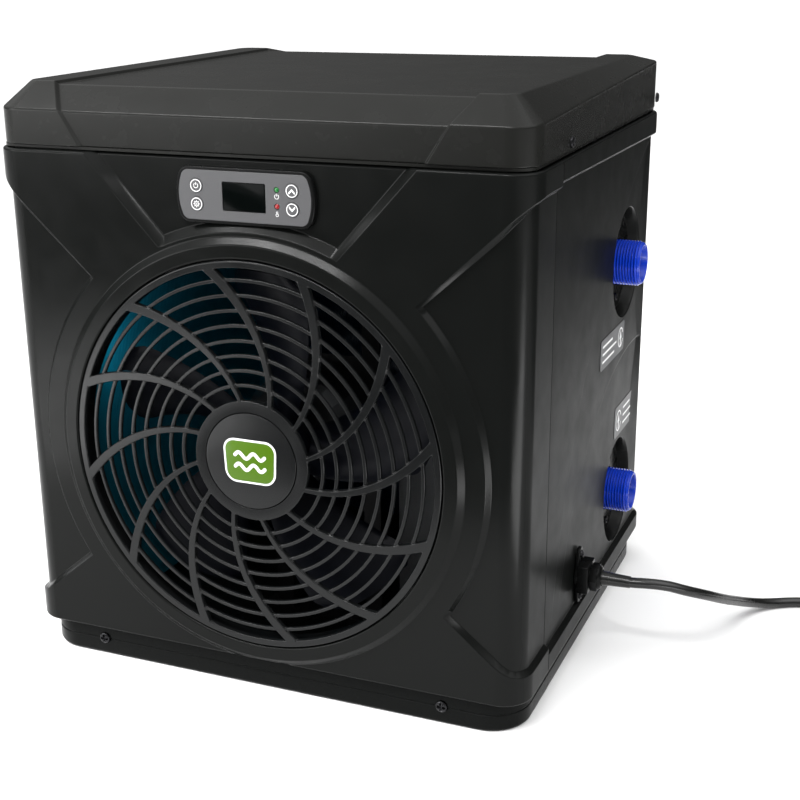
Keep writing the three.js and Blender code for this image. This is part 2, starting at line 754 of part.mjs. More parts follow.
function evaporator() {
  const inner = 10;
  const shape = new THREE.Shape();
  shape.moveTo(COIL_LEFT, -100).lineTo(COIL_LEFT + COIL_DEPTH, -100);
  shape.lineTo(COIL_LEFT + COIL_DEPTH, COIL_REAR - COIL_DEPTH - inner);
  const outer = inner + COIL_DEPTH;
  const bendX = COIL_LEFT + outer;
  const bendY = COIL_REAR - outer;
  shape.absarc(bendX, bendY, inner, HALF_TURN, QUARTER, true);
  shape.lineTo(COIL_END_X, COIL_REAR - COIL_DEPTH).lineTo(COIL_END_X, COIL_REAR);
  shape.absarc(bendX, bendY, outer, QUARTER, HALF_TURN, false);
  shape.closePath();
  return prism(shape, 8, 372, 4);
}

function evaporatorHeader() {
  const plate = box(COIL_END_X + GAP, COIL_END_X + 2.3, COIL_REAR - COIL_DEPTH, COIL_REAR, 8, 372);
  const bends = [];
  for (let i = 0; i < 5; i += 1) {
    const z = 34 + i * 56;
    const x = COIL_END_X + 1.5;
    const bend = [[x, 160, z], [x + 7.5, 160, z], [x + 7.5, 160, z + 26], [x, 160, z + 26]];
    bends.push(tube(bentPath(bend, 6), 3.5, 6, 6));
  }
  return join(plate, ...bends);
}

const COMPRESSOR = { x: 125, y: -8, r: 52 };

function compressor() {
  const r = COMPRESSOR.r;
  return turnedZ([
    [0, 26], [r - 14, 26], [r, 38], [r, 186], [r - 4, 198], [r - 20, 210], [20, 215], [0, 215],
  ], 20).translate(COMPRESSOR.x, COMPRESSOR.y, 0);
}

function compressorMount() {
  const foot = FLOOR_Z + GAP;
  const plate = prism(roundedRectangle(56, 56, 14, COMPRESSOR.x, COMPRESSOR.y), 22, 25.4, 4);
  const pads = [[-42, -42], [42, -42], [-42, 42], [42, 42]].map(([dx, dy]) => (
    turnedZ([[0, foot], [11, foot], [8, 13], [11, 23], [0, 23]], 10)
      .translate(COMPRESSOR.x + dx, COMPRESSOR.y + dy, 0)));
  return join(plate, ...pads);
}

const ACCUMULATOR = { x: 168, y: -75, r: 22 };

function accumulator() {
  const r = ACCUMULATOR.r;
  const vessel = turnedZ([[0, 45], [r - 9, 46], [r, 56], [r, 164], [r - 9, 174], [0, 175]], 16)
    .translate(ACCUMULATOR.x, ACCUMULATOR.y, 0);
  const foot = [ACCUMULATOR.x, ACCUMULATOR.y, 34];
  const outlet = pipe([[foot[0], foot[1], 50], foot, [153.6, -52.5, foot[2]]], 4, 8, 8);
  return join(vessel, outlet);
}

const EXCHANGER = { x: 122, y: PORT_Y, r: 36 };

function heatExchanger() {
  const r = EXCHANGER.r;
  return turnedZ([
    [0, FLOOR_Z + GAP], [r - 8, FLOOR_Z + GAP], [r - 8, 26], [r, 30], [r, 330], [r - 8, 340], [0, 340],
  ], 20).translate(EXCHANGER.x, EXCHANGER.y, 0);
}

const MANIFOLD_Y = 160;           // pipes pass the partition here
const SUCTION_ROUTE = [
  [50, MANIFOLD_Y, SUCTION_Z], [70, MANIFOLD_Y, SUCTION_Z], [70, MANIFOLD_Y, 205],
  [184, MANIFOLD_Y, 205], [184, ACCUMULATOR.y, 205], [ACCUMULATOR.x, ACCUMULATOR.y, 205],
  [ACCUMULATOR.x, ACCUMULATOR.y, 175.4],
];
const DISCHARGE_ROUTE = [[118, 2, 215.6], [118, 2, 226], [118, 57.5, 226]];
const LIQUID_ROUTE = [
  [85.5, PORT_Y, LIQUID_Z], [72, PORT_Y, LIQUID_Z], [72, MANIFOLD_Y, LIQUID_Z],
  [50, MANIFOLD_Y, LIQUID_Z],
];

function waterPipe() {
  return turnedX(annulus(BORE_R - 2, BORE_R + 1, EXCHANGER.x + EXCHANGER.r + GAP, 174), 16);
}

// ---------------------------------------------------------------- water connectors
function waterConnector() {
  return turnedX([
    [BORE_R, 174.5], [THREAD_R, 174.5], [THREAD_R, PORT_END_X - 1.5], [THREAD_R - 1.5, PORT_END_X],
    [BORE_R, PORT_END_X], [BORE_R, 174.5],
  ], 24);
}

function connectorFlange() {
  const back = PORT_FLOOR_X + GAP;
  const ring = turnedX(annulus(THREAD_R + 2 * GAP, PORT_FLANGE_R, back, back + WALL), 24);
  return cut(ring, ...flangeScrewHoles());
}

// Pan-head screw profile, from its tip to the top of the head.
function screw(headR, headH, length) {
  const r = 1.3;
  return [
    [0, 0], [r, 0], [r, length], [headR, length], [headR, length + headH * 0.5],
    [headR * 0.6, length + headH], [0, length + headH],
  ];
}

// ---------------------------------------------------------------- electrical parts
const BOX = { x0: 72, x1: 176, y0: -50, y1: 50, z0: 238, z1: 345 };

function partition() {
  const t = 1.5;
  const outline = [
    [60, 171], [60, -60], [151, -110], [151, -172], [151 + t, -172], [151 + t, -110 + t],
    [60 + t, -60 + t], [60 + t, 171],
  ];
  const sheet = prism(polygon(outline), FLOOR_Z + GAP, INNER_TOP);
  const holes = [LIQUID_Z, SUCTION_Z].map((z) => turnedX(drum(9, 55, 66), 12).translate(0, 160, z));
  return cut(sheet, ...holes);
}

function electricalBox() {
  const shell = box(BOX.x0, BOX.x1, BOX.y0, BOX.y1, BOX.z0, BOX.z1);
  return cut(shell, box(BOX.x0 + 2, BOX.x1 - 2, BOX.y0 + 2, BOX.y1 - 2, BOX.z0 + 2, BOX.z1 + 5));
}

function powerBoard() {
  const board = box(BOX.x0 + 8, BOX.x1 - 40, BOX.y0 + 6, BOX.y1 - 6, BOX.z0 + 8, BOX.z0 + 10);
  const relay = box(BOX.x0 + 16, BOX.x0 + 34, -20, 4, BOX.z0 + 9, BOX.z0 + 26);
  const filter = box(BOX.x0 + 42, BOX.x0 + 62, -34, -10, BOX.z0 + 9, BOX.z0 + 30);
  return join(board, relay, filter);
}

function capacitor() {
  return turnedZ([[0, 0], [17, 0], [17, 62], [14, 65], [0, 65]], 16)
    .translate(BOX.x1 - 20, 24, BOX.z0 + 2 + GAP);
}

function terminalBlock() {
  const z = BOX.z0 + 2 + GAP;
  const body = box(BOX.x1 - 34, BOX.x1 - 8, -42, -6, z, z + 16);
  const slots = [-38, -29, -20, -11].map((y) => (
    box(BOX.x1 - 30, BOX.x1 - 20, y, y + 4, z + 10, z + 20)));
  return cut(body, ...slots);
}

function flowSwitch() {
  const z = PORT_Z[1] + BORE_R + 1 + GAP;
  return box(160, 174, PORT_Y - 11, PORT_Y + 11, z, z + 22);
}

// ---------------------------------------------------------------- mains lead
function atGland(geometry) {
  return geometry.translate(0, GLAND.y, GLAND.z);
}

function glandFlange() {
  const outline = new THREE.Shape();
  outline.absarc(0, 17, 6, 0.35, HALF_TURN - 0.35);
  outline.absarc(-7, 0, 7, HALF_TURN * 0.9, HALF_TURN * 1.1);
  outline.absarc(0, -17, 6, HALF_TURN + 0.35, -0.35);
  outline.absarc(7, 0, 7, -HALF_TURN * 0.1, HALF_TURN * 0.1);
  outline.closePath();
  return atGland(cut(sidePlate(outline, GLAND.x + GAP, GLAND.x + 3.3, 5),
    turnedX(drum(8, -5, 8).map(([r, h]) => [r, GLAND.x + h]), 12)));
}

function cableGland() {
  const x = GLAND.x;
  const barrel = turnedX([
    [0, x - 12], [7.4, x - 12], [7.4, x + 3.6], [16, x + 3.6], [16, x + 11], [0, x + 11],
  ], 4).rotateX(QUARTER / 2);
  const nut = turnedX([[0, x + 11.4], [11, x + 11.4], [11, x + 17], [9, x + 20], [0, x + 20]], 6);
  const collar = turnedX(drum(9.5, x + 10, x + 12), 12);
  const bore = turnedX(drum(CORD_R + 2.6, x + 11, x + 30), 12);
  return atGland(cut(join(barrel, nut, collar), bore));
}

const RELIEF_END = GLAND.x + 42;

function strainRelief() {
  return atGland(turnedX([
    [0, GLAND.x + 11.6], [CORD_R + 2.2, GLAND.x + 11.6], [CORD_R + 2.2, GLAND.x + 20.5],
    [CORD_R + 1.8, GLAND.x + 22], [CORD_R + 0.5, RELIEF_END], [0, RELIEF_END],
  ], 16));
}

// Hand-laid route of the lead, from the strain relief down to the floor and out to the coil.
const COIL = { x: 436, y: 49, innerTurn: 36, outerTurn: 56, layers: 2 };
const LEAD_ROUTE = [
  [RELIEF_END + 1.2, -33, 63], [251.6, -30.6, 63.2], [264.5, -25.3, 61.2], [275.8, -18.4, 56.7],
  [284.5, -8.9, 51.4], [290.8, 2.2, 45.6], [295.5, 13.9, 39.5], [299.3, 25.9, 33.4],
  [302.8, 38.1, 27.5], [306.5, 50.3, 21.8], [310.7, 62.4, 16.2], [316.3, 74.2, 11.1],
  [323.9, 85.2, 6.9], [333.8, 94.7, 4.6], [345.8, 101.9, 4.1], [359.1, 106.1, 4.1],
  [373, 107.2, 4.1], [387, 107, 4.1], [401, 106.4, 4.1],
];
const TAIL_ROUTE = [
  [492, 18.6, 8.8], [492, 10, 6.7], [491.6, 1, 5], [490.6, -9, 4.3], [489, -19, 4.5],
  [487.4, -28, 5.6], [486.2, -36, 7.4], [485.6, -42, 8.8],
];
const PLUG = { x: 485.5, y: -42.6, z: 8.8, tilt: 13 * HALF_TURN / 180 };

function laidCord(points, steps) {
  const knots = points.map((p) => new THREE.Vector3(...p));
  return tube(new THREE.CatmullRomCurve3(knots, false, 'centripetal'), CORD_R, 8, steps);
}

// The wound turns as one ring with bevelled edges, just clear of the floor.
function cordCoil() {
  const inner = COIL.innerTurn - CORD_R;
  const outer = COIL.outerTurn + CORD_R;
  const low = 0.1;
  const high = low + COIL.layers * CORD_R * 2;
  const bevel = 2;
  return turnedZ([
    [inner + bevel, low], [outer - bevel, low], [outer, low + bevel], [outer, high - bevel],
    [outer - bevel, high], [inner + bevel, high], [inner, high - bevel], [inner, low + bevel],
    [inner + bevel, low],
  ], 24);
}

const PLUG_FACE_R = 18.4;
const PLUG_LENGTH = 50;
const PIN = { r: 2.4, reach: 19, pitch: 19 };

function mainsPlug() {
  const body = turnedY([
    [0, 0], [5.5, 0], [7, -2], [8, -14], [14, -32], [PLUG_FACE_R, 6 - PLUG_LENGTH],
    [PLUG_FACE_R, -PLUG_LENGTH], [0, -PLUG_LENGTH],
  ], 20);
  const tip = -PLUG_LENGTH - PIN.reach;
  const pin = [[0, 1 - PLUG_LENGTH], [PIN.r, 1 - PLUG_LENGTH], [PIN.r, tip + 2], [0, tip]];
  const pins = [-PIN.pitch / 2, PIN.pitch / 2].map((x) => turnedY(pin, 8).translate(x, 0, 0));
  return join(body, ...pins);
}

// ---------------------------------------------------------------- labels
function label(y0, y1, z0, z1) {
  const x = WIDTH / 2 - RELIEF + 0.1;
  return box(x, x + 0.4, y0, y1, z0, z1);
}

// ---------------------------------------------------------------- build
function buildCasing() {
  add('base_tray', baseTray(), 'plastic');
  add('front_casing', frontCasing(), 'plastic');
  add('rear_casing', rearCasing(), 'plastic');
  add('top_lid', topLid(), 'plastic');
  add('fan_grille', fanGrille(), 'plastic');
  add('hub_cap', hubCap(), 'plastic');
  add('hub_badge', hubBadge(), 'badge');
  add('inlet_label', label(76, 150, 134, 166), 'label');
  add('outlet_label', label(16, 97, 206, 234), 'label');
}

function buildKeypad() {
  add('keypad_frame', keypadFrame(), 'rubber');
  add('keypad_overlay', keypadOverlay(), 'keypad');
  add('display_window', displayWindow(), 'screen');
  add('control_board', controlBoard(), 'circuit');
  for (const [name, x, z] of KEYS) add(name, keyCap(), 'keys', [x, OVERLAY_FACE - 0.5, z]);
  add('red_led', led(), 'red', [LED_X, OVERLAY_FACE, LED_Z[0]]);
  add('green_led', led(), 'green', [LED_X, OVERLAY_FACE, LED_Z[1]]);
}

function buildFan() {
  add('fan_wheel', fanWheel(), 'rubber');
  add('fan_shaft', fanShaft(), 'steel', [0, 0, FAN_Z]);
  add('fan_nut', fanNut(), 'steel', [0, 0, FAN_Z]);
  add('fan_motor', fanMotor(), 'steel');
  add('motor_bracket', motorBracket(), 'steel');
}

function buildRefrigeration() {
  add('evaporator', evaporator(), 'fins');
  add('evaporator_header', evaporatorHeader(), 'copper');
  add('compressor', compressor(), 'rubber');
  add('compressor_mount', compressorMount(), 'rubber');
  add('accumulator', accumulator(), 'copper');
  add('heat_exchanger', heatExchanger(), 'pipework');
  add('suction_pipe', pipe(SUCTION_ROUTE, 5, 7, 24), 'copper');
  add('discharge_pipe', pipe(DISCHARGE_ROUTE, 4, 8, 8), 'copper');
  add('liquid_pipe', pipe(LIQUID_ROUTE, 3, 5, 14), 'copper');
}

function buildWaterSide() {
  for (const [name, z] of [['inlet', PORT_Z[0]], ['outlet', PORT_Z[1]]]) {
    const port = [0, PORT_Y, z];
    add(`${name}_connector`, waterConnector(), 'blue', port);
    add(`${name}_flange`, connectorFlange(), 'rubber', port);
    add(`${name}_pipe`, waterPipe(), 'pipework', port);
    const fixing = [PORT_FLOOR_X - 4.4, PORT_Y, z + PORT_SCREW_DZ];
    add(`${name}_flange_screw`, turnedX(screw(3, 2, 8), 8), 'steel', fixing);
  }
  add('flow_switch', flowSwitch(), 'rubber');
}

function buildElectrical() {
  add('partition_panel', partition(), 'steel');
  add('electrical_box', electricalBox(), 'steel');
  add('power_board', powerBoard(), 'circuit');
  add('run_capacitor', capacitor(), 'steel');
  add('terminal_block', terminalBlock(), 'pipework');
}

function buildLead() {
  add('gland_flange', glandFlange(), 'rubber');
  add('cable_gland', cableGland(), 'rubber');
  add('strain_relief', strainRelief(), 'rubber');
  add('power_cord', laidCord(LEAD_ROUTE, 20), 'rubber');
  add('cord_coil', cordCoil(), 'rubber', [COIL.x, COIL.y, 0]);
  add('cord_tail', laidCord(TAIL_ROUTE, 7), 'rubber');
  const plug = add('mains_plug', mainsPlug(), 'rubber', [PLUG.x, PLUG.y, PLUG.z]);
  plug.rotation.x = -PLUG.tilt;
}

function buildScrews() {
  BASE_SCREWS_X.forEach((x, i) => {
    const place = [x, FRONT + 12, BASE_SCREW_Z];
    const fixing = add(`base_screw_${i + 1}`, turnedY(screw(3.6, 2.2, 7), 8), 'steel', place);
    fixing.rotation.x = HALF_TURN;
  });
  LID_SCREWS.forEach(([y, z], i) => {
    for (const [where, side] of [['left', -1], ['right', 1]]) {
      const fixing = add(`lid_screw_${where}_${i + 1}`, turnedX(screw(3.6, 2.2, 7), 8), 'steel',
        [side * (LID_HALF_X - 6.7), y, z]);
      fixing.rotation.z = side > 0 ? 0 : HALF_TURN;
    }
  });
}

buildCasing();
buildKeypad();
buildFan();
buildRefrigeration();
buildWaterSide();
buildElectrical();
buildLead();
buildScrews();

export default unit;
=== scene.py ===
"""Looks of the compact pool heat pump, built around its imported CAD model.

Sizes in this script are millimetres and become metres when a mesh is made. X is to the right,
Y to the rear and Z up; the fan grille faces -Y.
"""

import math

import bpy
import numpy as np
from mathutils import Matrix, Vector
from mathutils.geometry import delaunay_2d_cdt


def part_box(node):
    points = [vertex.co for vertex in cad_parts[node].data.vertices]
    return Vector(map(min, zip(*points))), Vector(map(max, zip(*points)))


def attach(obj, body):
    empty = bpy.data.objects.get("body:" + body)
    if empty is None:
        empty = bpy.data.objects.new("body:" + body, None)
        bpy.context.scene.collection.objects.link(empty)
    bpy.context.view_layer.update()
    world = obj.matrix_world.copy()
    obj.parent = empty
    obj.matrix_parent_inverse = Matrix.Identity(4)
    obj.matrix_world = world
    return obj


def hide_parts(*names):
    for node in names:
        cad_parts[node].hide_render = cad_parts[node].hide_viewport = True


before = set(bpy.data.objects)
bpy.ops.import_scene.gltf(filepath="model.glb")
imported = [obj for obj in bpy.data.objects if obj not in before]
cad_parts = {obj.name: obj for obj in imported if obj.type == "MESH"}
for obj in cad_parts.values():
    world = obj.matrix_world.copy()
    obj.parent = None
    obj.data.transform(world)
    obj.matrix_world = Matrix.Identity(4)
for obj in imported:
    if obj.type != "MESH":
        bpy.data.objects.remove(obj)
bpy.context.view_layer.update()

# ------------------------------------------------------------------ driving sizes
MM = 0.001
WIDTH = 400
DEPTH = 362
FRONT = -DEPTH / 2
CORNER = 22
CASE_BOTTOM = 24.3
CASE_TOP = 388.5
TOP_SLOPE = 0.0152
BASE_HEIGHT = 24
SEAM_Y = -120.5
SEAM_GAP = 0.5
WALL = 3
RELIEF = 4
PANEL_RELIEF = 6
FAN_Z = 181
GRILLE_R = 141.5
OPENING_R = 142.3
GRILLE_FACE = FRONT - 4
BEZEL_TOP_R = 152
BEZEL_FOOT_R = 157
KEYPAD_Z = 364
PORT_Y = 94
PORT_Z = {"inlet": 1000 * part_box("inlet_connector")[0].z + 18,
          "outlet": 1000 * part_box("outlet_connector")[0].z + 18}
PORT_FLOOR_X = 184
PORT_DISH_R = 44
GLAND_Y = -33
GLAND_Z = 63
GLAND_X = WIDTH / 2 - RELIEF
CORD_R = 4

ALONG_X = Matrix.Rotation(math.pi / 2, 3, "Y")
ALONG_Y = Matrix.Rotation(-math.pi / 2, 3, "X")
ALONG_Z = Matrix.Identity(3)


# ------------------------------------------------------------------ materials
GRAIN_DEPTH = 0.00006             # metres
BRUSH_DEPTH = 0.00004             # metres
DRIFT_SCALE = 9                   # scale of a plastic's slow colour drift
HAZE_SCALE = 45                   # scale of a plastic's uneven gloss
HAZE = 0.035                      # its change of roughness each way


def new_material(name, color, roughness, metallic=0.0, specular=0.5):
    material = bpy.data.materials.new(name)
    material.use_nodes = True
    shader = material.node_tree.nodes["Principled BSDF"]
    shader.inputs["Base Color"].default_value = (*color, 1)
    shader.inputs["Roughness"].default_value = roughness
    shader.inputs["Metallic"].default_value = metallic
    shader.inputs["Specular IOR Level"].default_value = specular
    return material, shader


def noise(material, scale, detail=3.0, roughness=0.55, stretch=None):
    """A noise texture in object space, with its features 1/scale metres across."""
    nodes, links = material.node_tree.nodes, material.node_tree.links
    place = nodes.new("ShaderNodeTexCoord")
    texture = nodes.new("ShaderNodeTexNoise")
    texture.inputs["Scale"].default_value = scale
    texture.inputs["Detail"].default_value = detail
    texture.inputs["Roughness"].default_value = roughness
    source = place.outputs["Object"]
    if stretch:
        mapping = nodes.new("ShaderNodeMapping")
        mapping.inputs["Scale"].default_value = stretch
        links.new(source, mapping.inputs["Vector"])
        source = mapping.outputs["Vector"]
    links.new(source, texture.inputs["Vector"])
    return texture.outputs["Fac"]


def spread(material, value, low, high, start=0.3, end=0.7):
    """Maps a 0 to 1 value on to low to high."""
    nodes, links = material.node_tree.nodes, material.node_tree.links
    ramp = nodes.new("ShaderNodeMapRange")
    ramp.inputs["From Min"].default_value = start
    ramp.inputs["From Max"].default_value = end
    ramp.inputs["To Min"].default_value = low
    ramp.inputs["To Max"].default_value = high
    links.new(value, ramp.inputs["Value"])
    return ramp.outputs["Result"]


def tint(material, value, dark, light):
    nodes, links = material.node_tree.nodes, material.node_tree.links
    mix = nodes.new("ShaderNodeMix")
    mix.data_type = "RGBA"
    mix.inputs["A"].default_value = (*dark, 1)
    mix.inputs["B"].default_value = (*light, 1)
    links.new(value, mix.inputs["Factor"])
    return mix.outputs["Result"]


def bump(material, shader, height, strength, distance):
    nodes, links = material.node_tree.nodes, material.node_tree.links
    node = nodes.new("ShaderNodeBump")
    node.inputs["Strength"].default_value = strength
    node.inputs["Distance"].default_value = distance
    links.new(height, node.inputs["Height"])
    links.new(node.outputs["Normal"], shader.inputs["Normal"])


def coordinate(material, kind, axis):
    """One axis of a texture coordinate, such as the object's own X."""
    nodes, links = material.node_tree.nodes, material.node_tree.links
    place = nodes.new("ShaderNodeTexCoord")
    split = nodes.new("ShaderNodeSeparateXYZ")
    links.new(place.outputs[kind], split.inputs["Vector"])
    return split.outputs[axis]


def side_mask(material):
    """1 on faces turned to the left or right, 0 on the others."""
    size = material.node_tree.nodes.new("ShaderNodeMath")
    size.operation = "ABSOLUTE"
    material.node_tree.links.new(coordinate(material, "Normal", "X"), size.inputs[0])
    return spread(material, size.outputs["Value"], 0, 1, 0.75, 0.98)


def plastic(name, color, roughness, grain=0.25, grain_scale=1400, vary=0.12, specular=0.5, side=None):
    """Moulded plastic: fine spark-eroded grain, slow colour drift and uneven gloss.

    side is the (roughness, specular) of a coarser grain on the left and right faces.
    """
    material, shader = new_material(name, color, roughness, specular=specular)
    links = material.node_tree.links
    drift = noise(material, DRIFT_SCALE, 2)
    dark = [c * (1 - vary) for c in color]
    light = [c * (1 + vary) for c in color]
    links.new(tint(material, drift, dark, light), shader.inputs["Base Color"])
    haze = noise(material, HAZE_SCALE, 4)
    gloss = spread(material, haze, roughness - HAZE, roughness + HAZE)
    if side:
        mask = side_mask(material)
        rougher = material.node_tree.nodes.new("ShaderNodeMath")
        links.new(gloss, rougher.inputs[0])
        links.new(spread(material, mask, 0, side[0] - roughness, 0, 1), rougher.inputs[1])
        gloss = rougher.outputs["Value"]
        links.new(spread(material, mask, specular, side[1], 0, 1), shader.inputs["Specular IOR Level"])
    links.new(gloss, shader.inputs["Roughness"])
    bump(material, shader, noise(material, grain_scale, 2, 0.6), grain, GRAIN_DEPTH)
    return material


def metal(name, color, roughness, stretch=(1, 1, 40), vary=0.06):
    """Drawn or rolled metal with fine lines along one direction."""
    material, shader = new_material(name, color, roughness, 1.0)
    links = material.node_tree.links
    lines = noise(material, 300, 3, stretch=stretch)
    links.new(spread(material, lines, roughness - vary, roughness + vary), shader.inputs["Roughness"])
    patches = noise(material, 30, 3)
    dark = [c * 0.85 for c in color]
    links.new(tint(material, patches, dark, color), shader.inputs["Base Color"])
    bump(material, shader, lines, 0.08, BRUSH_DEPTH)
    return material


MATERIAL = {
    "casing": plastic("casing_plastic", (0.0042, 0.0046, 0.0043), 0.20, 0.4, specular=0.085,
                      side=(0.34, 0.04)),
    "lid": plastic("lid_plastic", (0.0086, 0.0088, 0.0080), 0.26, 0.4, 1100, specular=0.13),
    "base": plastic("base_plastic", (0.0036, 0.0040, 0.0038), 0.28, 0.4, specular=0.05),
    "grille": plastic("grille_plastic", (0.0046, 0.0050, 0.0052), 0.22, 0.2, specular=0.21),
    "dark": plastic("dark_plastic", (0.0036, 0.0038, 0.0038), 0.27, 0.2, specular=0.08),
    "fan": plastic("fan_plastic", (0.0014, 0.0018, 0.0034), 0.38, 0.1, specular=0.07),
    "rubber": plastic("cable_rubber", (0.0050, 0.0053, 0.0050), 0.27, 0.1, 2200, specular=0.45),
    "blue": plastic("connector_blue", (0.0015, 0.030, 0.40), 0.24, 0.05, 1500, 0.1, specular=0.25),
    "keypad": plastic("keypad_film", (0.070, 0.070, 0.073), 0.42, 0.15, 2600, 0.04, specular=0.25),
    "print": plastic("white_print", (0.78, 0.78, 0.78), 0.5, 0.05, 2600, 0.03),
    "screen": plastic("display_glass", (0.0012, 0.0018, 0.0017), 0.12, 0.0, 900, 0.1, specular=0.03),
    "board": plastic("circuit_board", (0.012, 0.12, 0.035), 0.4, 0.1),
    "red": plastic("red_lens", (0.22, 0.002, 0.004), 0.2, 0.0),
    "green": plastic("green_lens", (0.004, 0.12, 0.018), 0.2, 0.0),
    "badge": plastic("badge_green", (0.056, 0.125, 0.003), 0.3, 0.05, 900, 0.04, specular=0.2),
    "label": plastic("label_film", (0.075, 0.077, 0.080), 0.35, 0.05, 900, 0.05, specular=0.25),
    # the compressor's own black enamel, also used as painted shade on the motor bracket inside the casing
    "shell": plastic("black_enamel", (0.0060, 0.0060, 0.0065), 0.4, 0.1, 400, specular=0.10),
    "water": plastic("water_plastic", (0.55, 0.55, 0.52), 0.35, 0.1),
    "ceramic": plastic("terminal_plastic", (0.7, 0.68, 0.62), 0.45, 0.1),
    "screw": metal("screw_steel", (0.030, 0.030, 0.032), 0.30),
    "sheet": metal("sheet_steel", (0.16, 0.165, 0.17), 0.42),
    "motor": metal("motor_steel", (0.12, 0.125, 0.13), 0.42),
    "copper": metal("copper", (0.80, 0.36, 0.20), 0.3),
    "fins": plastic("fin_aluminium", (0.003, 0.16, 0.24), 0.34, 0.05, 900, 0.15, specular=0.45),
    "can": metal("can_aluminium", (0.6, 0.61, 0.62), 0.3),
}


def paint_shade_inwards(material, light, dark, start, end):
    """Paints shade on the coil's fins: their own blue coat at the left, painted shade further to the right
    inside the casing.
    """
    share = spread(material, coordinate(material, "Object", "X"), 0, 1, start, end)
    shader = material.node_tree.nodes["Principled BSDF"]
    material.node_tree.links.new(tint(material, share, light, dark), shader.inputs["Base Color"])


LIT_FINS_END = -0.172             # metres from the middle, where the painted shade on the fins starts
SHADED_FINS_START = -0.135
# the fins' own blue coat, then the colour of the painted shade deep inside the casing
paint_shade_inwards(MATERIAL["fins"], (0.003, 0.17, 0.25), (0.002, 0.022, 0.060), LIT_FINS_END,
               SHADED_FINS_START)


# ------------------------------------------------------------------ mesh toolkit
def make_piece(name, verts, faces, material, body="housing", slot=None, replaces=(), angle=35, normals=None):
    """A mesh object from points in millimetres, smooth except across edges sharper than angle."""
    mesh = bpy.data.meshes.new(name)
    mesh.from_pydata((np.asarray(verts, float) * MM).tolist(), [], [list(map(int, f)) for f in faces])
    mesh.validate()
    mesh.shade_smooth()
    mesh.set_sharp_from_angle(angle=math.radians(angle))
    if normals is not None:
        mesh.normals_split_custom_set(normals)
    mesh.materials.append(MATERIAL[material])
    piece = bpy.data.objects.new(name, mesh)
    bpy.context.scene.collection.objects.link(piece)
    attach(piece, body)
    if replaces:
        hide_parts(*replaces)
    return piece


def merged(*solids):
    """Several closed (verts, faces) solids as one."""
    verts, faces = [], []
    for points, polygons in solids:
        base = sum(len(v) for v in verts)
        verts.append(np.asarray(points, float))
        faces.extend([[i + base for i in polygon] for polygon in polygons])
    return np.vstack(verts), faces


def moved(solid, by=(0, 0, 0), turn=None):
    points, faces = solid
    points = np.asarray(points, float)
    if turn is not None:
        points = points @ np.array(turn).T
    return points + np.array(by, float), faces


def rounded_profile(profile, radius, steps=3):
    """Rounds each inner corner of an open profile of [radius, height] points."""
    points = [np.array(p, float) for p in profile]
    out = [points[0]]
    for before, corner, after in zip(points, points[1:], points[2:]):
        to_before, to_after = before - corner, after - corner
        reach_a, reach_b = np.linalg.norm(to_before), np.linalg.norm(to_after)
        cut = min(radius, reach_a * 0.45, reach_b * 0.45)
        start = corner + to_before / reach_a * cut
        end = corner + to_after / reach_b * cut
        for i in range(steps + 1):
            t = i / steps
            out.append((1 - t) ** 2 * start + 2 * t * (1 - t) * corner + t * t * end)
    out.append(points[-1])
    return [tuple(p) for p in out]


def revolve(profile, segments=64, axis=ALONG_Y, place=(0, 0, 0)):
    """A turned solid from [radius, height] points that end on the axis or close into a ring."""
    ring = profile[0][0] > 1e-6
    points = list(profile[:-1]) if ring and profile[0] == profile[-1] else list(profile)
    verts, rows = [], []
    for radius, height in points:
        if radius < 1e-6:
            rows.append([len(verts)] * segments)
            verts.append((0, 0, height))
            continue
        rows.append([len(verts) + i for i in range(segments)])
        for i in range(segments):
            angle = 2 * math.pi * i / segments
            verts.append((radius * math.cos(angle), radius * math.sin(angle), height))
    if ring:
        rows.append(rows[0])
    faces = []
    for low, high in zip(rows, rows[1:]):
        for i in range(segments):
            j = (i + 1) % segments
            corners = []
            for corner in (low[i], low[j], high[j], high[i]):
                if corner not in corners:
                    corners.append(corner)
            if len(corners) > 2:
                faces.append(corners)
    return moved(outward((np.array(verts), faces)), place, axis)


def outward(solid):
    """The same closed solid with its faces pointing out."""
    points, faces = solid
    total = 0.0
    for face in faces:
        origin = points[face[0]]
        for a, b in zip(face[1:], face[2:]):
            total += float(np.dot(origin, np.cross(points[a], points[b])))
    if total < 0:
        faces = [list(reversed(face)) for face in faces]
    return points, faces


def ring_profile(inner, outer, low, high, radius=0.6):
    middle = (inner + outer) / 2
    path = [(middle, low), (outer, low), (outer, high), (inner, high), (inner, low), (middle, low)]
    rounded = rounded_profile(path, radius)
    return rounded[:-1] + [rounded[0]]


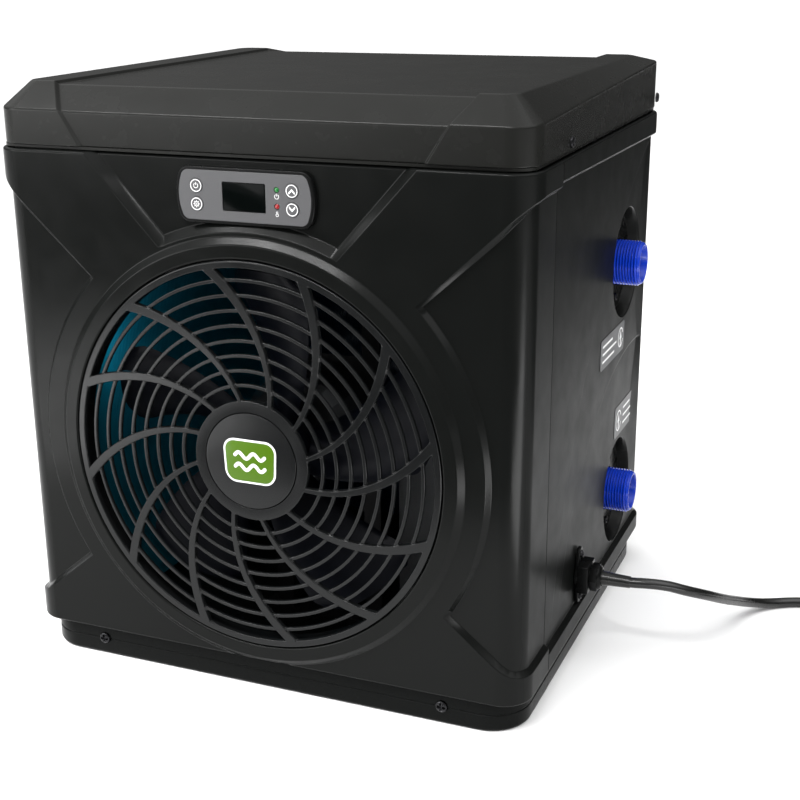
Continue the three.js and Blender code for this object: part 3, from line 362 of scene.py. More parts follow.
def brick(x0, x1, y0, y1, z0, z1, edge=0.6):
    """A box with small bevels on all its edges."""
    centre = np.array([(x0 + x1) / 2, (y0 + y1) / 2, (z0 + z1) / 2])
    half = np.array([x1 - x0, y1 - y0, z1 - z0]) / 2
    edge = min(edge, *(half * 0.45))
    verts, index = [], {}
    for sign in np.ndindex(2, 2, 2):
        s = np.array(sign) * 2 - 1
        for axis in range(3):
            point = half - edge
            point[axis] = half[axis]
            index[(*sign, axis)] = len(verts)
            verts.append(centre + s * point)
    faces = []
    for axis in range(3):
        others = [a for a in range(3) if a != axis]
        for side in (0, 1):
            loop = []
            for pair in ((0, 0), (1, 0), (1, 1), (0, 1)):
                sign = [0, 0, 0]
                sign[axis] = side
                sign[others[0]], sign[others[1]] = pair
                loop.append(index[(*sign, axis)])
            faces.append(loop)
        for pair in ((0, 0), (1, 0), (1, 1), (0, 1)):
            ends = []
            for step in (0, 1):
                sign = [0, 0, 0]
                sign[axis] = step
                sign[others[0]], sign[others[1]] = pair
                ends.append(tuple(sign))
            faces.append([index[(*ends[0], others[0])], index[(*ends[1], others[0])],
                          index[(*ends[1], others[1])], index[(*ends[0], others[1])]])
    for sign in np.ndindex(2, 2, 2):
        faces.append([index[(*sign, axis)] for axis in range(3)])
    points = np.array(verts)
    fixed = []
    for face in faces:
        a, b, c = points[face[0]], points[face[1]], points[face[2]]
        away = points[face].mean(0) - centre
        fixed.append(face if np.dot(np.cross(b - a, c - a), away) > 0 else face[::-1])
    return points, fixed


def band(count, low, high):
    """Four-sided faces between the ring of points number low and the ring number high."""
    faces = []
    for i in range(count):
        j = (i + 1) % count
        faces.append([low * count + i, low * count + j, high * count + j, high * count + i])
    return faces


def closed_loft(rings):
    """A closed solid through rings of equal point count, the last joined to the first."""
    faces = []
    for k in range(len(rings)):
        faces += band(len(rings[0]), k, (k + 1) % len(rings))
    return outward((np.vstack(rings), faces))


def lofted(rings):
    """A closed solid through rings of equal point count, capped at both ends."""
    count = len(rings[0])
    faces = []
    for k in range(len(rings) - 1):
        faces += band(count, k, k + 1)
    last = (len(rings) - 1) * count
    faces.append(list(range(count))[::-1])
    faces.append([last + i for i in range(count)])
    return outward((np.vstack(rings), faces))


def slab(outline, low, high, edge, turn=ALONG_Z, steps=3, foot=None):
    """A flat plate between two heights, its outline's edges rounded."""
    foot = edge if foot is None else foot
    rings = []
    for base, radius, sign in ((low, foot, 1), (high, edge, -1)):
        angles = [math.pi / 2 * i / steps for i in range(steps + 1)]
        half = [(grown(outline, -radius * (1 - math.sin(a))), base + sign * radius * (1 - math.cos(a)))
                for a in angles]
        rings += half if sign > 0 else half[::-1]
    return moved(lofted([np.column_stack([ring, np.full(len(ring), z)]) for ring, z in rings]), turn=turn)


def arc(cx, cy, radius, start, end, count):
    """Points on an arc; angles in degrees."""
    angles = np.radians(np.linspace(start, end, count + 1))
    return np.column_stack([cx + radius * np.cos(angles), cy + radius * np.sin(angles)])


def circle(cx, cy, radius, count):
    return arc(cx, cy, radius, 0, 360, count)[:-1]


def rounded_box(half_x, half_y, radius, cx=0, cy=0, count=6):
    parts = []
    for sx, sy, start in ((1, -1, -90), (1, 1, 0), (-1, 1, 90), (-1, -1, 180)):
        parts.append(arc(cx + sx * (half_x - radius), cy + sy * (half_y - radius), radius,
                         start, start + 90, count))
    outline = np.vstack(parts)
    return outline[np.linalg.norm(outline - np.roll(outline, 1, 0), axis=1) > 1e-6]


def counterclockwise(outline):
    x, y = outline[:, 0], outline[:, 1]
    area = np.sum(x * np.roll(y, -1) - np.roll(x, -1) * y)
    return outline if area > 0 else outline[::-1]


def grown(outline, distance):
    """A closed outline moved outwards, with mitred corners."""
    p = counterclockwise(np.asarray(outline, float))
    edge = np.roll(p, -1, 0) - p
    edge = edge / np.linalg.norm(edge, axis=1)[:, None]
    normal = np.column_stack([edge[:, 1], -edge[:, 0]])
    before = np.roll(normal, 1, 0)
    joint = np.maximum(1 + np.sum(normal * before, 1), 0.35)
    return p + distance * (normal + before) / joint[:, None]


def contains(outline, points):
    """True for each point inside a closed outline."""
    inside = np.zeros(len(points), bool)
    x, y = points[:, 0], points[:, 1]
    for (ax, ay), (bx, by) in zip(outline, np.roll(outline, -1, 0)):
        crosses = (ay > y) != (by > y)
        if ay != by:
            inside ^= crosses & (x < (bx - ax) * (y - ay) / (by - ay) + ax)
    return inside


def distance_to(outline, points, closed=True):
    """Distance from each point to an outline."""
    ends = np.roll(outline, -1, 0) if closed else outline[1:]
    starts = outline if closed else outline[:-1]
    best = np.full(len(points), 1e9)
    for a, b in zip(starts, ends):
        run = b - a
        t = np.clip(((points - a) @ run) / max(run @ run, 1e-12), 0, 1)
        gap = points - a - t[:, None] * run
        best = np.minimum(best, np.einsum("ij,ij->i", gap, gap))
    return np.sqrt(best)


def depth_inside(outline, points):
    """Distance from a closed outline, positive inside it."""
    away = distance_to(outline, points)
    return np.where(contains(outline, points), away, -away)


def ramp(distance, width, fillet):
    """0 outside and 1 inside, with a straight wall and rounded edges."""
    half = (width + fillet) / 2
    t = np.clip(distance + half, 0, 2 * half)
    rising = np.minimum(t, fillet)
    falling = np.clip(t - width, 0, fillet)
    return (rising ** 2 / (2 * fillet) + np.clip(t - fillet, 0, None)
            - falling ** 2 / (2 * fillet)) / width


def ramp_guides(width, fillet):
    """Offsets at which guide lines catch a ramp's two fillets."""
    half = (width + fillet) / 2
    steps = np.linspace(0, fillet, 4)
    return sorted({round(v, 4) for v in (*(steps - half), *(half - steps))})


def edge_round(distance, radius):
    """How far a rounded edge drops at a distance from the border."""
    t = np.clip(distance, 0, radius)
    return radius - np.sqrt(np.maximum(radius ** 2 - (radius - t) ** 2, 0))


def edge_guides(radius):
    return [radius * (1 - math.cos(a)) for a in (math.pi / 6, math.pi / 3, math.pi / 2)]


class Skin:
    """A moulded skin laid out flat: guide lines for its edges, then carried on to the solid."""

    def __init__(self, border, holes=()):
        self.points = []
        self.edges = []
        self.border = np.asarray(border, float)
        self.holes = [np.asarray(hole, float) for hole in holes]
        for outline in (self.border, *self.holes):
            self.line(outline, closed=True)

    def line(self, points, closed=False):
        start = len(self.points)
        count = len(points)
        self.points.extend(Vector((float(x), float(y))) for x, y in points)
        self.edges.extend((start + i, start + i + 1) for i in range(count - 1))
        if closed:
            self.edges.append((start + count - 1, start))

    def offsets(self, outline, distances):
        for distance in distances:
            self.line(grown(outline, distance), closed=True)

    def triangles(self):
        verts, _, faces, *_ = delaunay_2d_cdt(self.points, self.edges, [], 0, 1e-4)
        flat = np.array([(v.x, v.y) for v in verts])
        corners = np.array([f for f in faces if len(f) == 3])
        middle = flat[corners].mean(1)
        keep = contains(self.border, middle)
        for hole in self.holes:
            low, high = hole.min(0), hole.max(0)
            near = np.where(keep & np.all((middle > low) & (middle < high), axis=1))[0]
            keep[near[contains(hole, middle[near])]] = False
        corners = corners[keep]
        a, b, c = (flat[corners[:, i]] for i in range(3))
        area = (b[:, 0] - a[:, 0]) * (c[:, 1] - a[:, 1]) - (b[:, 1] - a[:, 1]) * (c[:, 0] - a[:, 0])
        corners[area < 0] = corners[area < 0][:, ::-1]
        corners = corners[np.abs(area) > 1e-7]
        used, corners = np.unique(corners, return_inverse=True)
        return flat[used], corners.reshape(-1, 3)

    def solid(self, outer, inner):
        """Outer and inner skins and the walls between them, with exact normals on both skins."""
        flat, corners = self.triangles()
        count = len(flat)
        verts = np.vstack([outer(flat), inner(flat)])
        faces = corners.tolist() + (corners[:, ::-1] + count).tolist()
        pairs = np.vstack([corners[:, [0, 1]], corners[:, [1, 2]], corners[:, [2, 0]]])
        known = {(int(a), int(b)) for a, b in pairs}
        walls = sorted((b, a, a + count, b + count) for a, b in known if (b, a) not in known)
        faces.extend(list(w) for w in walls)
        top = slope_normals(outer, flat)
        under = -slope_normals(inner, flat)
        loops = np.vstack([top[corners].reshape(-1, 3), under[corners[:, ::-1]].reshape(-1, 3),
                           np.zeros((4 * len(walls), 3))])
        return verts, faces, loops


def slope_normals(place, flat, step=0.02):
    across = place(flat + [step, 0]) - place(flat - [step, 0])
    along = place(flat + [0, step]) - place(flat - [0, step])
    normal = np.cross(across, along)
    return normal / np.maximum(np.linalg.norm(normal, axis=1), 1e-12)[:, None]


# ------------------------------------------------------------------ camera
CAMERA_PLACE = (429.9, -960.6, 507.9)
CAMERA_YAW = 0.3885               # radians to the left of +Y
CAMERA_PITCH = 0.3105             # radians below the horizon
CAMERA_ROLL = 0.0061
CAMERA_LENS = 60.8                # on a 36 mm sensor


def make_camera():
    data = bpy.data.cameras.new("camera")
    data.sensor_width = 36
    data.lens = CAMERA_LENS
    camera = bpy.data.objects.new("camera", data)
    bpy.context.scene.collection.objects.link(camera)
    forward = Vector((-math.sin(CAMERA_YAW) * math.cos(CAMERA_PITCH),
                      math.cos(CAMERA_YAW) * math.cos(CAMERA_PITCH), -math.sin(CAMERA_PITCH)))
    level = Vector((math.cos(CAMERA_YAW), math.sin(CAMERA_YAW), 0))
    down = forward.cross(level)
    right = level * math.cos(CAMERA_ROLL) + down * math.sin(CAMERA_ROLL)
    up = right.cross(forward)
    turn = Matrix((right, up, -forward)).transposed().to_4x4()
    camera.matrix_world = Matrix.Translation(Vector(CAMERA_PLACE) * MM) @ turn
    bpy.context.scene.camera = camera


# ------------------------------------------------------------------ mains lead
LAID = CORD_R + 0.1               # height of the lead's middle where it lies on the floor
LEAD_ROUTE = [
    (251.6, -30.6, 63.2), (264.5, -25.3, 61.2), (275.8, -18.4, 56.7), (284.5, -8.9, 51.4),
    (290.8, 2.2, 45.6), (295.5, 13.9, 39.5), (299.3, 25.9, 33.4), (302.8, 38.1, 27.5),
    (306.5, 50.3, 21.8), (310.7, 62.4, 16.2), (316.3, 74.2, 11.1), (323.9, 85.2, 6.9),
    (333.8, 94.7, 4.6), (345.8, 101.9, LAID), (359.1, 106.1, LAID), (373, 107.2, LAID),
    (387, 107, LAID), (401, 106.4, LAID),
]
TAIL_ROUTE = [
    (492, 18.6, 8.8), (492, 10, 6.7), (491.6, 1, 5), (490.6, -9, 4.3), (489, -19, 4.5),
    (487.4, -28, 5.6), (486.2, -36, 7.4), (485.6, -42, 8.8),
]
COIL = {"x": 436, "y": 49, "outer": 56, "inner": 36, "turns": 5.25}
COIL_STEPS = 16                   # points in each turn


def smooth_step(value):
    t = min(max(value, 0), 1)
    return t * t * (3 - 2 * t)


def coil_points():
    """Two layers: inwards along the floor, then outwards on top, clockwise from above."""
    half = COIL["turns"] / 2
    points = []
    steps = round(COIL["turns"] * COIL_STEPS)
    for i in range(steps + 1):
        turn = COIL["turns"] * i / steps
        inwards = min(turn, COIL["turns"] - turn) / half
        radius = COIL["outer"] + (COIL["inner"] - COIL["outer"]) * min(inwards * 1.05, 1)
        angle = math.pi / 2 - turn * 2 * math.pi
        height = LAID + 2 * CORD_R * smooth_step((turn - half + 0.2) / 0.3)
        points.append((COIL["x"] + radius * math.cos(angle), COIL["y"] + radius * math.sin(angle), height))
    return points


def smooth_route(knots, spacing):
    """Points about one spacing apart on a smooth curve through the knots."""
    knots = np.asarray(knots, float)
    knots = np.vstack([2 * knots[0] - knots[1], knots, 2 * knots[-1] - knots[-2]])
    points = []
    for k in range(1, len(knots) - 2):
        p = knots[k - 1:k + 3]
        t = np.concatenate([[0], np.cumsum(np.sqrt(np.linalg.norm(np.diff(p, axis=0), axis=1)))])
        steps = max(2, round(np.linalg.norm(p[2] - p[1]) / spacing))
        for u in np.linspace(t[1], t[2], steps, endpoint=False):
            a = [((t[i + 1] - u) * p[i] + (u - t[i]) * p[i + 1]) / (t[i + 1] - t[i]) for i in range(3)]
            b = [((t[i + 2] - u) * a[i] + (u - t[i]) * a[i + 1]) / (t[i + 2] - t[i]) for i in range(2)]
            points.append(((t[2] - u) * b[0] + (u - t[1]) * b[1]) / (t[2] - t[1]))
    points.append(knots[-2])
    return np.array(points)


def swept(path, radius, sides=20):
    """A round rod along a path, without twist, closed at both ends."""
    along = np.gradient(path, axis=0)
    along /= np.linalg.norm(along, axis=1)[:, None]
    across = np.cross(along[0], (0, 0, 1))
    rings = []
    for point, run in zip(path, along):
        across = across - run * np.dot(across, run)
        across /= np.linalg.norm(across)
        other = np.cross(run, across)
        rings.append(np.array([point + radius * (math.cos(a) * across + math.sin(a) * other)
                               for a in np.linspace(0, 2 * math.pi, sides + 1)[:-1]]))
    return lofted(rings)


def mains_lead():
    """The whole lead from the gland to the plug, with its sleeve and plug."""
    nut_face = 1000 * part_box("cable_gland")[1].x
    straight = [(nut_face + run, GLAND_Y, GLAND_Z) for run in (0, 11, 22)]
    into_coil = [(418, 105.5, LAID)]
    off_coil = [(492, 39, 11.9), (492, 28.4, 10.9)]
    knots = [*straight, *LEAD_ROUTE, *into_coil, *coil_points(), *off_coil, *TAIL_ROUTE]
    path = smooth_route(knots, 3.5)
    sleeve = strain_relief()
    plug = mains_plug()
    lead = make_piece("mains_lead", *swept(path, CORD_R), "rubber", slot="cable_rubber",
                      replaces=["power_cord", "cord_coil", "cord_tail"])


def strain_relief():
    """Slim tapered sleeve over the cord where it leaves the gland."""
    start, end = (1000 * corner.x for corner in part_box("strain_relief"))
    bore = CORD_R + 0.05
    profile = [(bore, start), (CORD_R + 1.6, start), (CORD_R + 1.5, end - 19), (CORD_R + 1.1, end - 16),
               (CORD_R + 0.8, end - 8), (CORD_R + 0.5, end - 0.4), (bore, end), (bore, start)]
    solid = revolve(profile, 32, ALONG_X, (0, GLAND_Y, GLAND_Z))
    return make_piece("strain_relief_sleeve", *solid, "rubber", slot="cable_rubber",
                      replaces=["strain_relief"])


def mains_plug():
    """Round two-pin plug with an earth strip on each side, lying on the floor."""
    low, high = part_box("mains_plug")
    tilt = math.radians(13)
    place = np.array([1000 * (low.x + high.x) / 2, TAIL_ROUTE[-1][1] - 0.6, TAIL_ROUTE[-1][2] + 0.6])
    body = revolve(rounded_profile([
        (0, 0), (5.4, 0), (5.4, -3), (6.2, -3), (6.8, -12), (9, -20), (14, -32), (18.2, -42), (18.2, -49.8),
        (16.6, -49.8), (16.6, -47.5), (0, -47.5),
    ], 1.2), 48, ALONG_Y)
    grips = []
    for r, y in ((7.2, -14.5), (8.5, -18.5), (10.2, -22.5)):
        section = ring_profile(r - 1.2, r + 0.35, y - 0.9, y + 0.9, 0.4)
        grips.append(revolve(rounded_profile(section, 0.1), 48, ALONG_Y))
    pins = [revolve(rounded_profile([(0, -46), (2.4, -46), (2.4, -66.6), (1.4, -68.6), (0, -68.6)], 0.6),
                    20, ALONG_Y, (x, 0, 0)) for x in (-9.5, 9.5)]
    strips = [brick(-2, 2, -49.5, -36, z - 0.5, z + 0.5, 0.2) for z in (-17.4, 17.4)]
    turn = Matrix.Rotation(-tilt, 3, "X")
    plug = make_piece("plug_body", *moved(merged(body, *grips), place, turn), "rubber",
                      slot="cable_rubber", replaces=["mains_plug"])
    metal_parts = moved(merged(*pins, *strips), place, turn)
    contacts = make_piece("plug_pins", *metal_parts, "can", slot="can_aluminium")
    return [plug, contacts]


# ------------------------------------------------------------------ casing
FLAT_HALF = WIDTH / 2 - CORNER
CORNER_RUN = CORNER * math.pi / 2
FRONT_RUN = FLAT_HALF + CORNER_RUN + SEAM_Y - SEAM_GAP / 2 - (FRONT + CORNER)
REAR_START = SEAM_Y + SEAM_GAP / 2
REAR_SIDE = DEPTH / 2 - CORNER - REAR_START
REAR_RUN = 2 * (REAR_SIDE + CORNER_RUN + FLAT_HALF)
BAND_TOP = 376
BEZEL_MID_R = (BEZEL_TOP_R + BEZEL_FOOT_R) / 2
SIDE_WALL = (3.4, 0.9)            # straight width and fillet of each relief wall
KEYPAD_WALL = (6.5, 1.0)
BEZEL_WALL = (5.0, 1.3)
REAR_WALL = (2.5, 1.2)
DISH_WALL = (3.0, 1.6)
CREASE_WALL = (1.6, 0.9)
CREASE_DEPTH = 0.7
CASE_EDGE = 2                     # rounding of the top and bottom edges
SEAM_EDGE = 0.6
OPENING_EDGE = 1.5
VENT_EDGE = 0.9
PANEL_FOOT = 39.5                 # ends of the rear casing's recessed band
PANEL_TOP = 375
DISH_EDGE_R = PORT_DISH_R - 1.5   # middle of the water dishes' walls
KEYPAD_HOLE = rounded_box(47.6, 15.6, 2, 0, KEYPAD_Z, 2)


def rectangle(x0, x1, y0, y1):
    return np.array([(x0, y0), (x1, y0), (x1, y1), (x0, y1)], float)


def side_panel():
    """Outline of the recessed side panel, laid flat round the corner."""
    low = arc(0, FAN_Z, 172, -33.7, 44.1, 36)
    past = FRONT_RUN + 10
    turned_corner = np.array([
        (178, 350.5), (183.7, 355.8), (189.5, 360.6), (195.2, 364.7), (201, 367.9), (206.8, 369.8),
        (212.5, 370.8), (225, 371.5), (past, 371.5), (past, 45), (225, 45.4), (212.5, 46), (201, 46.9),
        (195.2, 47.6), (189.5, 49.4), (183.7, 52.9), (178, 57),
    ])
    return np.vstack([low, turned_corner])


SIDE_PANEL = side_panel()
KEYPAD_PANEL = np.vstack([[(119, 400), (-119, 400), (-119, 388.5)], arc(0, FAN_Z, 163, 114, 66, 36),
                          [(119, 388.5)]])


def wrapped(x, y, normal_x, normal_y, z, depth):
    """Points inside the casing's outside face, with the rim climbing to the rear."""
    x = x - normal_x * depth
    y = y - normal_y * depth
    climb = np.clip((z - BAND_TOP) / (CASE_TOP - BAND_TOP), 0, 1)
    return np.column_stack([x, y, z + TOP_SLOPE * (y - FRONT) * climb])


def front_wrap(flat, depth):
    s, z = flat[:, 0], flat[:, 1]
    side, run = np.sign(s), np.abs(s)
    turn = np.clip((run - FLAT_HALF) / CORNER, 0, math.pi / 2)
    x = side * (np.minimum(run, FLAT_HALF) + CORNER * np.sin(turn))
    y = FRONT + CORNER * (1 - np.cos(turn)) + np.maximum(run - FLAT_HALF - CORNER_RUN, 0)
    return wrapped(x, y, side * np.sin(turn), -np.cos(turn), z, depth)


def front_relief(flat):
    folded = np.column_stack([np.abs(flat[:, 0]), flat[:, 1]])
    side = ramp(depth_inside(SIDE_PANEL, folded), *SIDE_WALL)
    keypad = ramp(depth_inside(KEYPAD_PANEL, flat), *KEYPAD_WALL)
    return RELIEF * side + PANEL_RELIEF * keypad


def front_outer(flat):
    radius = np.hypot(flat[:, 0], flat[:, 1] - FAN_Z)
    bezel = (FRONT - GRILLE_FACE) * ramp(BEZEL_MID_R - radius, *BEZEL_WALL)
    drop = edge_round(radius - OPENING_R, OPENING_EDGE)
    drop += edge_round(CASE_TOP - flat[:, 1], CASE_EDGE) + edge_round(flat[:, 1] - CASE_BOTTOM, CASE_EDGE)
    drop += edge_round(FRONT_RUN - np.abs(flat[:, 0]), SEAM_EDGE)
    return front_wrap(flat, front_relief(flat) - bezel + drop)


def front_inner(flat):
    return front_wrap(flat, front_relief(flat) + WALL)


def mirrored(outline):
    return outline * [-1, 1]


def front_casing():
    opening = circle(0, FAN_Z, OPENING_R, 180)
    skin = Skin(rectangle(-FRONT_RUN, FRONT_RUN, CASE_BOTTOM, CASE_TOP), [opening, KEYPAD_HOLE])
    for outline in (SIDE_PANEL, mirrored(SIDE_PANEL)):
        skin.offsets(outline, ramp_guides(*SIDE_WALL))
    skin.offsets(KEYPAD_PANEL, ramp_guides(*KEYPAD_WALL))
    for distance in edge_guides(OPENING_EDGE):
        skin.line(circle(0, FAN_Z, OPENING_R + distance, 180), closed=True)
    for offset in ramp_guides(*BEZEL_WALL):
        skin.line(circle(0, FAN_Z, BEZEL_MID_R - offset, 180), closed=True)
    for distance in edge_guides(CASE_EDGE):
        for z in (CASE_TOP - distance, CASE_BOTTOM + distance):
            skin.line([(-FRONT_RUN, z), (FRONT_RUN, z)])
    skin.line([(-FRONT_RUN, BAND_TOP), (FRONT_RUN, BAND_TOP)])
    for side in (-1, 1):
        for run in np.linspace(FLAT_HALF, FLAT_HALF + CORNER_RUN, 13):
            skin.line([(side * run, CASE_BOTTOM), (side * run, CASE_TOP)])
        for distance in edge_guides(SEAM_EDGE):
            run = side * (FRONT_RUN - distance)
            skin.line([(run, CASE_BOTTOM), (run, CASE_TOP)])
    verts, faces, loops = skin.solid(front_outer, front_inner)
    make_piece("front_shell", verts, faces, "casing", slot="casing_plastic", replaces=["front_casing"],
               normals=loops)


def rear_wrap(flat, depth):
    """Runs from the right-hand seam round the back to the left-hand seam."""
    s, z = flat[:, 0], flat[:, 1]
    back = 2 * FLAT_HALF
    first = np.clip((s - REAR_SIDE) / CORNER, 0, math.pi / 2)
    across = np.clip(s - REAR_SIDE - CORNER_RUN, 0, back)
    second = np.clip((s - REAR_SIDE - CORNER_RUN - back) / CORNER, 0, math.pi / 2)
    left = np.maximum(s - REAR_SIDE - 2 * CORNER_RUN - back, 0)
    x = WIDTH / 2 - CORNER * (1 - np.cos(first)) - across - CORNER * np.sin(second)
    y = REAR_START + np.minimum(s, REAR_SIDE) + CORNER * np.sin(first)
    y = y - CORNER * (1 - np.cos(second)) - left
    return wrapped(x, y, np.cos(first + second), np.sin(first + second), z, depth)


PORTS = [(PORT_Y - REAR_START, z) for z in PORT_Z.values()]
BACK_START = REAR_SIDE + CORNER_RUN
LEFT_START = BACK_START + 2 * FLAT_HALF + CORNER_RUN


def vent_columns():
    """Start and end of each column of louvre slots along the rear casing."""
    back = [(FLAT_HALF - x1, FLAT_HALF - x0) for x0, x1 in ((-170, -104), (-92, -26), (-14, 40))]
    left = [(DEPTH / 2 - CORNER - y1, DEPTH / 2 - CORNER - y0) for y0, y1 in ((-96, -12), (4, 88))]
    return ([(BACK_START + a, BACK_START + b) for a, b in back]
            + [(LEFT_START + a, LEFT_START + b) for a, b in left])


VENT_HALF = 5
VENT_ROWS = [71 + 24 * row for row in range(12)]
VENTS = [((a + b) / 2, height, (b - a) / 2) for a, b in vent_columns() for height in VENT_ROWS]


def vent_distance(flat):
    """Distance from the nearest louvre slot, all with round ends."""
    best = np.full(len(flat), 1e3)
    for middle, z, half in VENTS:
        along = np.maximum(np.abs(flat[:, 0] - middle) - half + VENT_HALF, 0)
        best = np.minimum(best, np.hypot(along, flat[:, 1] - z) - VENT_HALF)
    return best


# Two shallow curved creases sweep down the right side: centre along Y, its height and the radius.
CREASES = ((344.1, -46.1, 457.6), (132.6, -26.5, 233.0))


def crease_relief(flat):
    s, z = flat[:, 0], flat[:, 1]
    fade = np.clip((z - 60) / 60, 0, 1) * np.clip((REAR_SIDE - s) / 12, 0, 1)
    total = np.zeros(len(flat))
    for y, height, radius in CREASES:
        inside = radius - np.hypot(s + REAR_START - y, z - height)
        total += CREASE_DEPTH * ramp(inside, *CREASE_WALL)
    return total * fade


def rear_relief(flat):
    s, z = flat[:, 0], flat[:, 1]
    panel = ramp(np.minimum(z - PANEL_FOOT, PANEL_TOP - z), *REAR_WALL)
    dish = np.zeros(len(flat))
    for port_s, port_z in PORTS:
        radius = np.hypot(s - port_s, z - port_z)
        dish = np.maximum(dish, ramp(DISH_EDGE_R - radius, *DISH_WALL))
    return (RELIEF + crease_relief(flat)) * panel * (1 - dish) + (WIDTH / 2 - PORT_FLOOR_X) * dish


def rear_outer(flat):
    s, z = flat[:, 0], flat[:, 1]
    drop = edge_round(CASE_TOP - z, CASE_EDGE) + edge_round(z - CASE_BOTTOM, CASE_EDGE)
    drop += edge_round(s, SEAM_EDGE) + edge_round(REAR_RUN - s, SEAM_EDGE)
    drop += edge_round(vent_distance(flat), VENT_EDGE)
    return rear_wrap(flat, rear_relief(flat) + drop)


def rear_inner(flat):
    return rear_wrap(flat, rear_relief(flat) + WALL)


def rear_casing():
    slots = [rounded_box(half, VENT_HALF, VENT_HALF, middle, z, 4) for middle, z, half in VENTS]
    bores = [circle(s, z, 18.9, 48) for s, z in PORTS]
    gland = circle(GLAND_Y - REAR_START, GLAND_Z, 9, 32)
    skin = Skin(rectangle(0, REAR_RUN, CASE_BOTTOM, CASE_TOP), [*slots, *bores, gland])
    levels = [BAND_TOP]
    for offset in ramp_guides(*REAR_WALL):
        levels += [PANEL_FOOT + offset, PANEL_TOP - offset]
    for distance in edge_guides(CASE_EDGE):
        levels += [CASE_TOP - distance, CASE_BOTTOM + distance]
    for z in levels:
        skin.line([(0, z), (REAR_RUN, z)])
    for start in (REAR_SIDE, BACK_START + 2 * FLAT_HALF):
        for run in np.linspace(start, start + CORNER_RUN, 13):
            skin.line([(run, CASE_BOTTOM), (run, CASE_TOP)])
    for distance in edge_guides(SEAM_EDGE):
        for run in (distance, REAR_RUN - distance):
            skin.line([(run, CASE_BOTTOM), (run, CASE_TOP)])
    for slot in slots:
        skin.offsets(slot, (0.25, VENT_EDGE))
    for s, z in PORTS:
        for offset in ramp_guides(*DISH_WALL):
            skin.line(circle(s, z, DISH_EDGE_R - offset, 72), closed=True)
    for y, height, radius in CREASES:
        for offset in ramp_guides(*CREASE_WALL):
            path = arc(y - REAR_START, height, radius - offset, 30, 178, 150)
            skin.line([p for p in path if 0 < p[0] < REAR_SIDE + 5 and 45 < p[1] < 373])
    verts, faces, loops = skin.solid(rear_outer, rear_inner)
    make_piece("rear_shell", verts, faces, "casing", slot="casing_plastic", replaces=["rear_casing"],
               normals=loops)


def vent_blades():
    """Slanted louvre blades behind the slots, so that the slots don't show straight in."""
    blades = []
    for middle, z, half in VENTS:
        place = rear_wrap(np.array([(middle, z)]), np.array([12.5]))[0]
        blade = brick(-half - 3, half + 3, -6.5, 6.5, -0.7, 0.7, 0.3)
        on_back = middle < LEFT_START - CORNER_RUN
        tilt = Matrix.Rotation(math.radians(-35 if on_back else 35), 3, "X")
        turn = tilt if on_back else Matrix.Rotation(math.pi / 2, 3, "Z") @ tilt
        blades.append(moved(blade, place, turn))
    make_piece("vent_blades", *merged(*blades), "dark", slot="casing_plastic")


# ------------------------------------------------------------------ base tray
def base_tray():
    half_x, half_y = WIDTH / 2 - 5, DEPTH / 2 - 5
    rings = []

    def ring(inset, z, radius=30):
        outline = rounded_box(half_x - inset, half_y - inset, radius - inset, count=12)
        rings.append(np.column_stack([outline, np.full(len(outline), z)]))

    for inset, z in ((3, 0), (1.5, 0.4), (0.4, 1.5), (0, 3), (0, 12.2), (0.5, 12.8), (0.5, 13.4), (0, 14),
                     (0, BASE_HEIGHT - 1.2), (0.35, BASE_HEIGHT - 0.35), (1.2, BASE_HEIGHT),
                     (3.4, BASE_HEIGHT), (4, BASE_HEIGHT - 0.6), (4, 5), (5, 4)):
        ring(inset, z)
    make_piece("base_shell", *lofted(rings), "base", slot="casing_plastic", replaces=["base_tray"])


# ------------------------------------------------------------------ lid
LID_CORE = np.array([169.7, 150.0])
LID_GROWTH = 8                    # the core's growth from the top to the crease
LID_TOP_R = 10
LID_SIDE_R = 20
LID_FACETS = (0, 25.46, 49.96)    # surface distance of top edge, crease and rim
LID_HEIGHTS = (433.5, 415.5, 391)
LID_RISES = (5.5, 19, 5.5)
LID_RELIEF = 2.5
LID_SOFT = 1.3
LID_WALL = (1.6, 0.8)
LID_EDGE = 1.2                    # rounding of the lower edge
LID_RIM = (                       # half width, half depth and height round the rim's section
    (194.3, 174.3, 396), (194.3, 174.3, 391.3), (196.2, 176.5, 391.2), (196.2, 176.5, 389.4),
    (192.4, 171.5, 389.3), (192.4, 171.5, 381), (191.9, 171, 380), (190.8, 169.9, 380),
    (190.2, 169.3, 381), (190.2, 169.3, 396),
)


def lid_middle():
    half = np.array([(112, -225), (135.6, -185.46), (155, -160), (155, 160), (135.6, 185.46), (112, 225)])
    return np.vstack([half, mirrored(half)[::-1]])


def bent(t, start, slopes, knots, soft=LID_SOFT):
    """Straight runs of a value along t, meeting in soft bends at the knots."""
    value = start + slopes[0] * t
    for knot, before, after in zip(knots, slopes, slopes[1:]):
        bend = np.clip(t - knot + soft, 0, 2 * soft) ** 2 / (4 * soft) + np.maximum(t - knot - soft, 0)
        value = value + (after - before) * bend
    return value


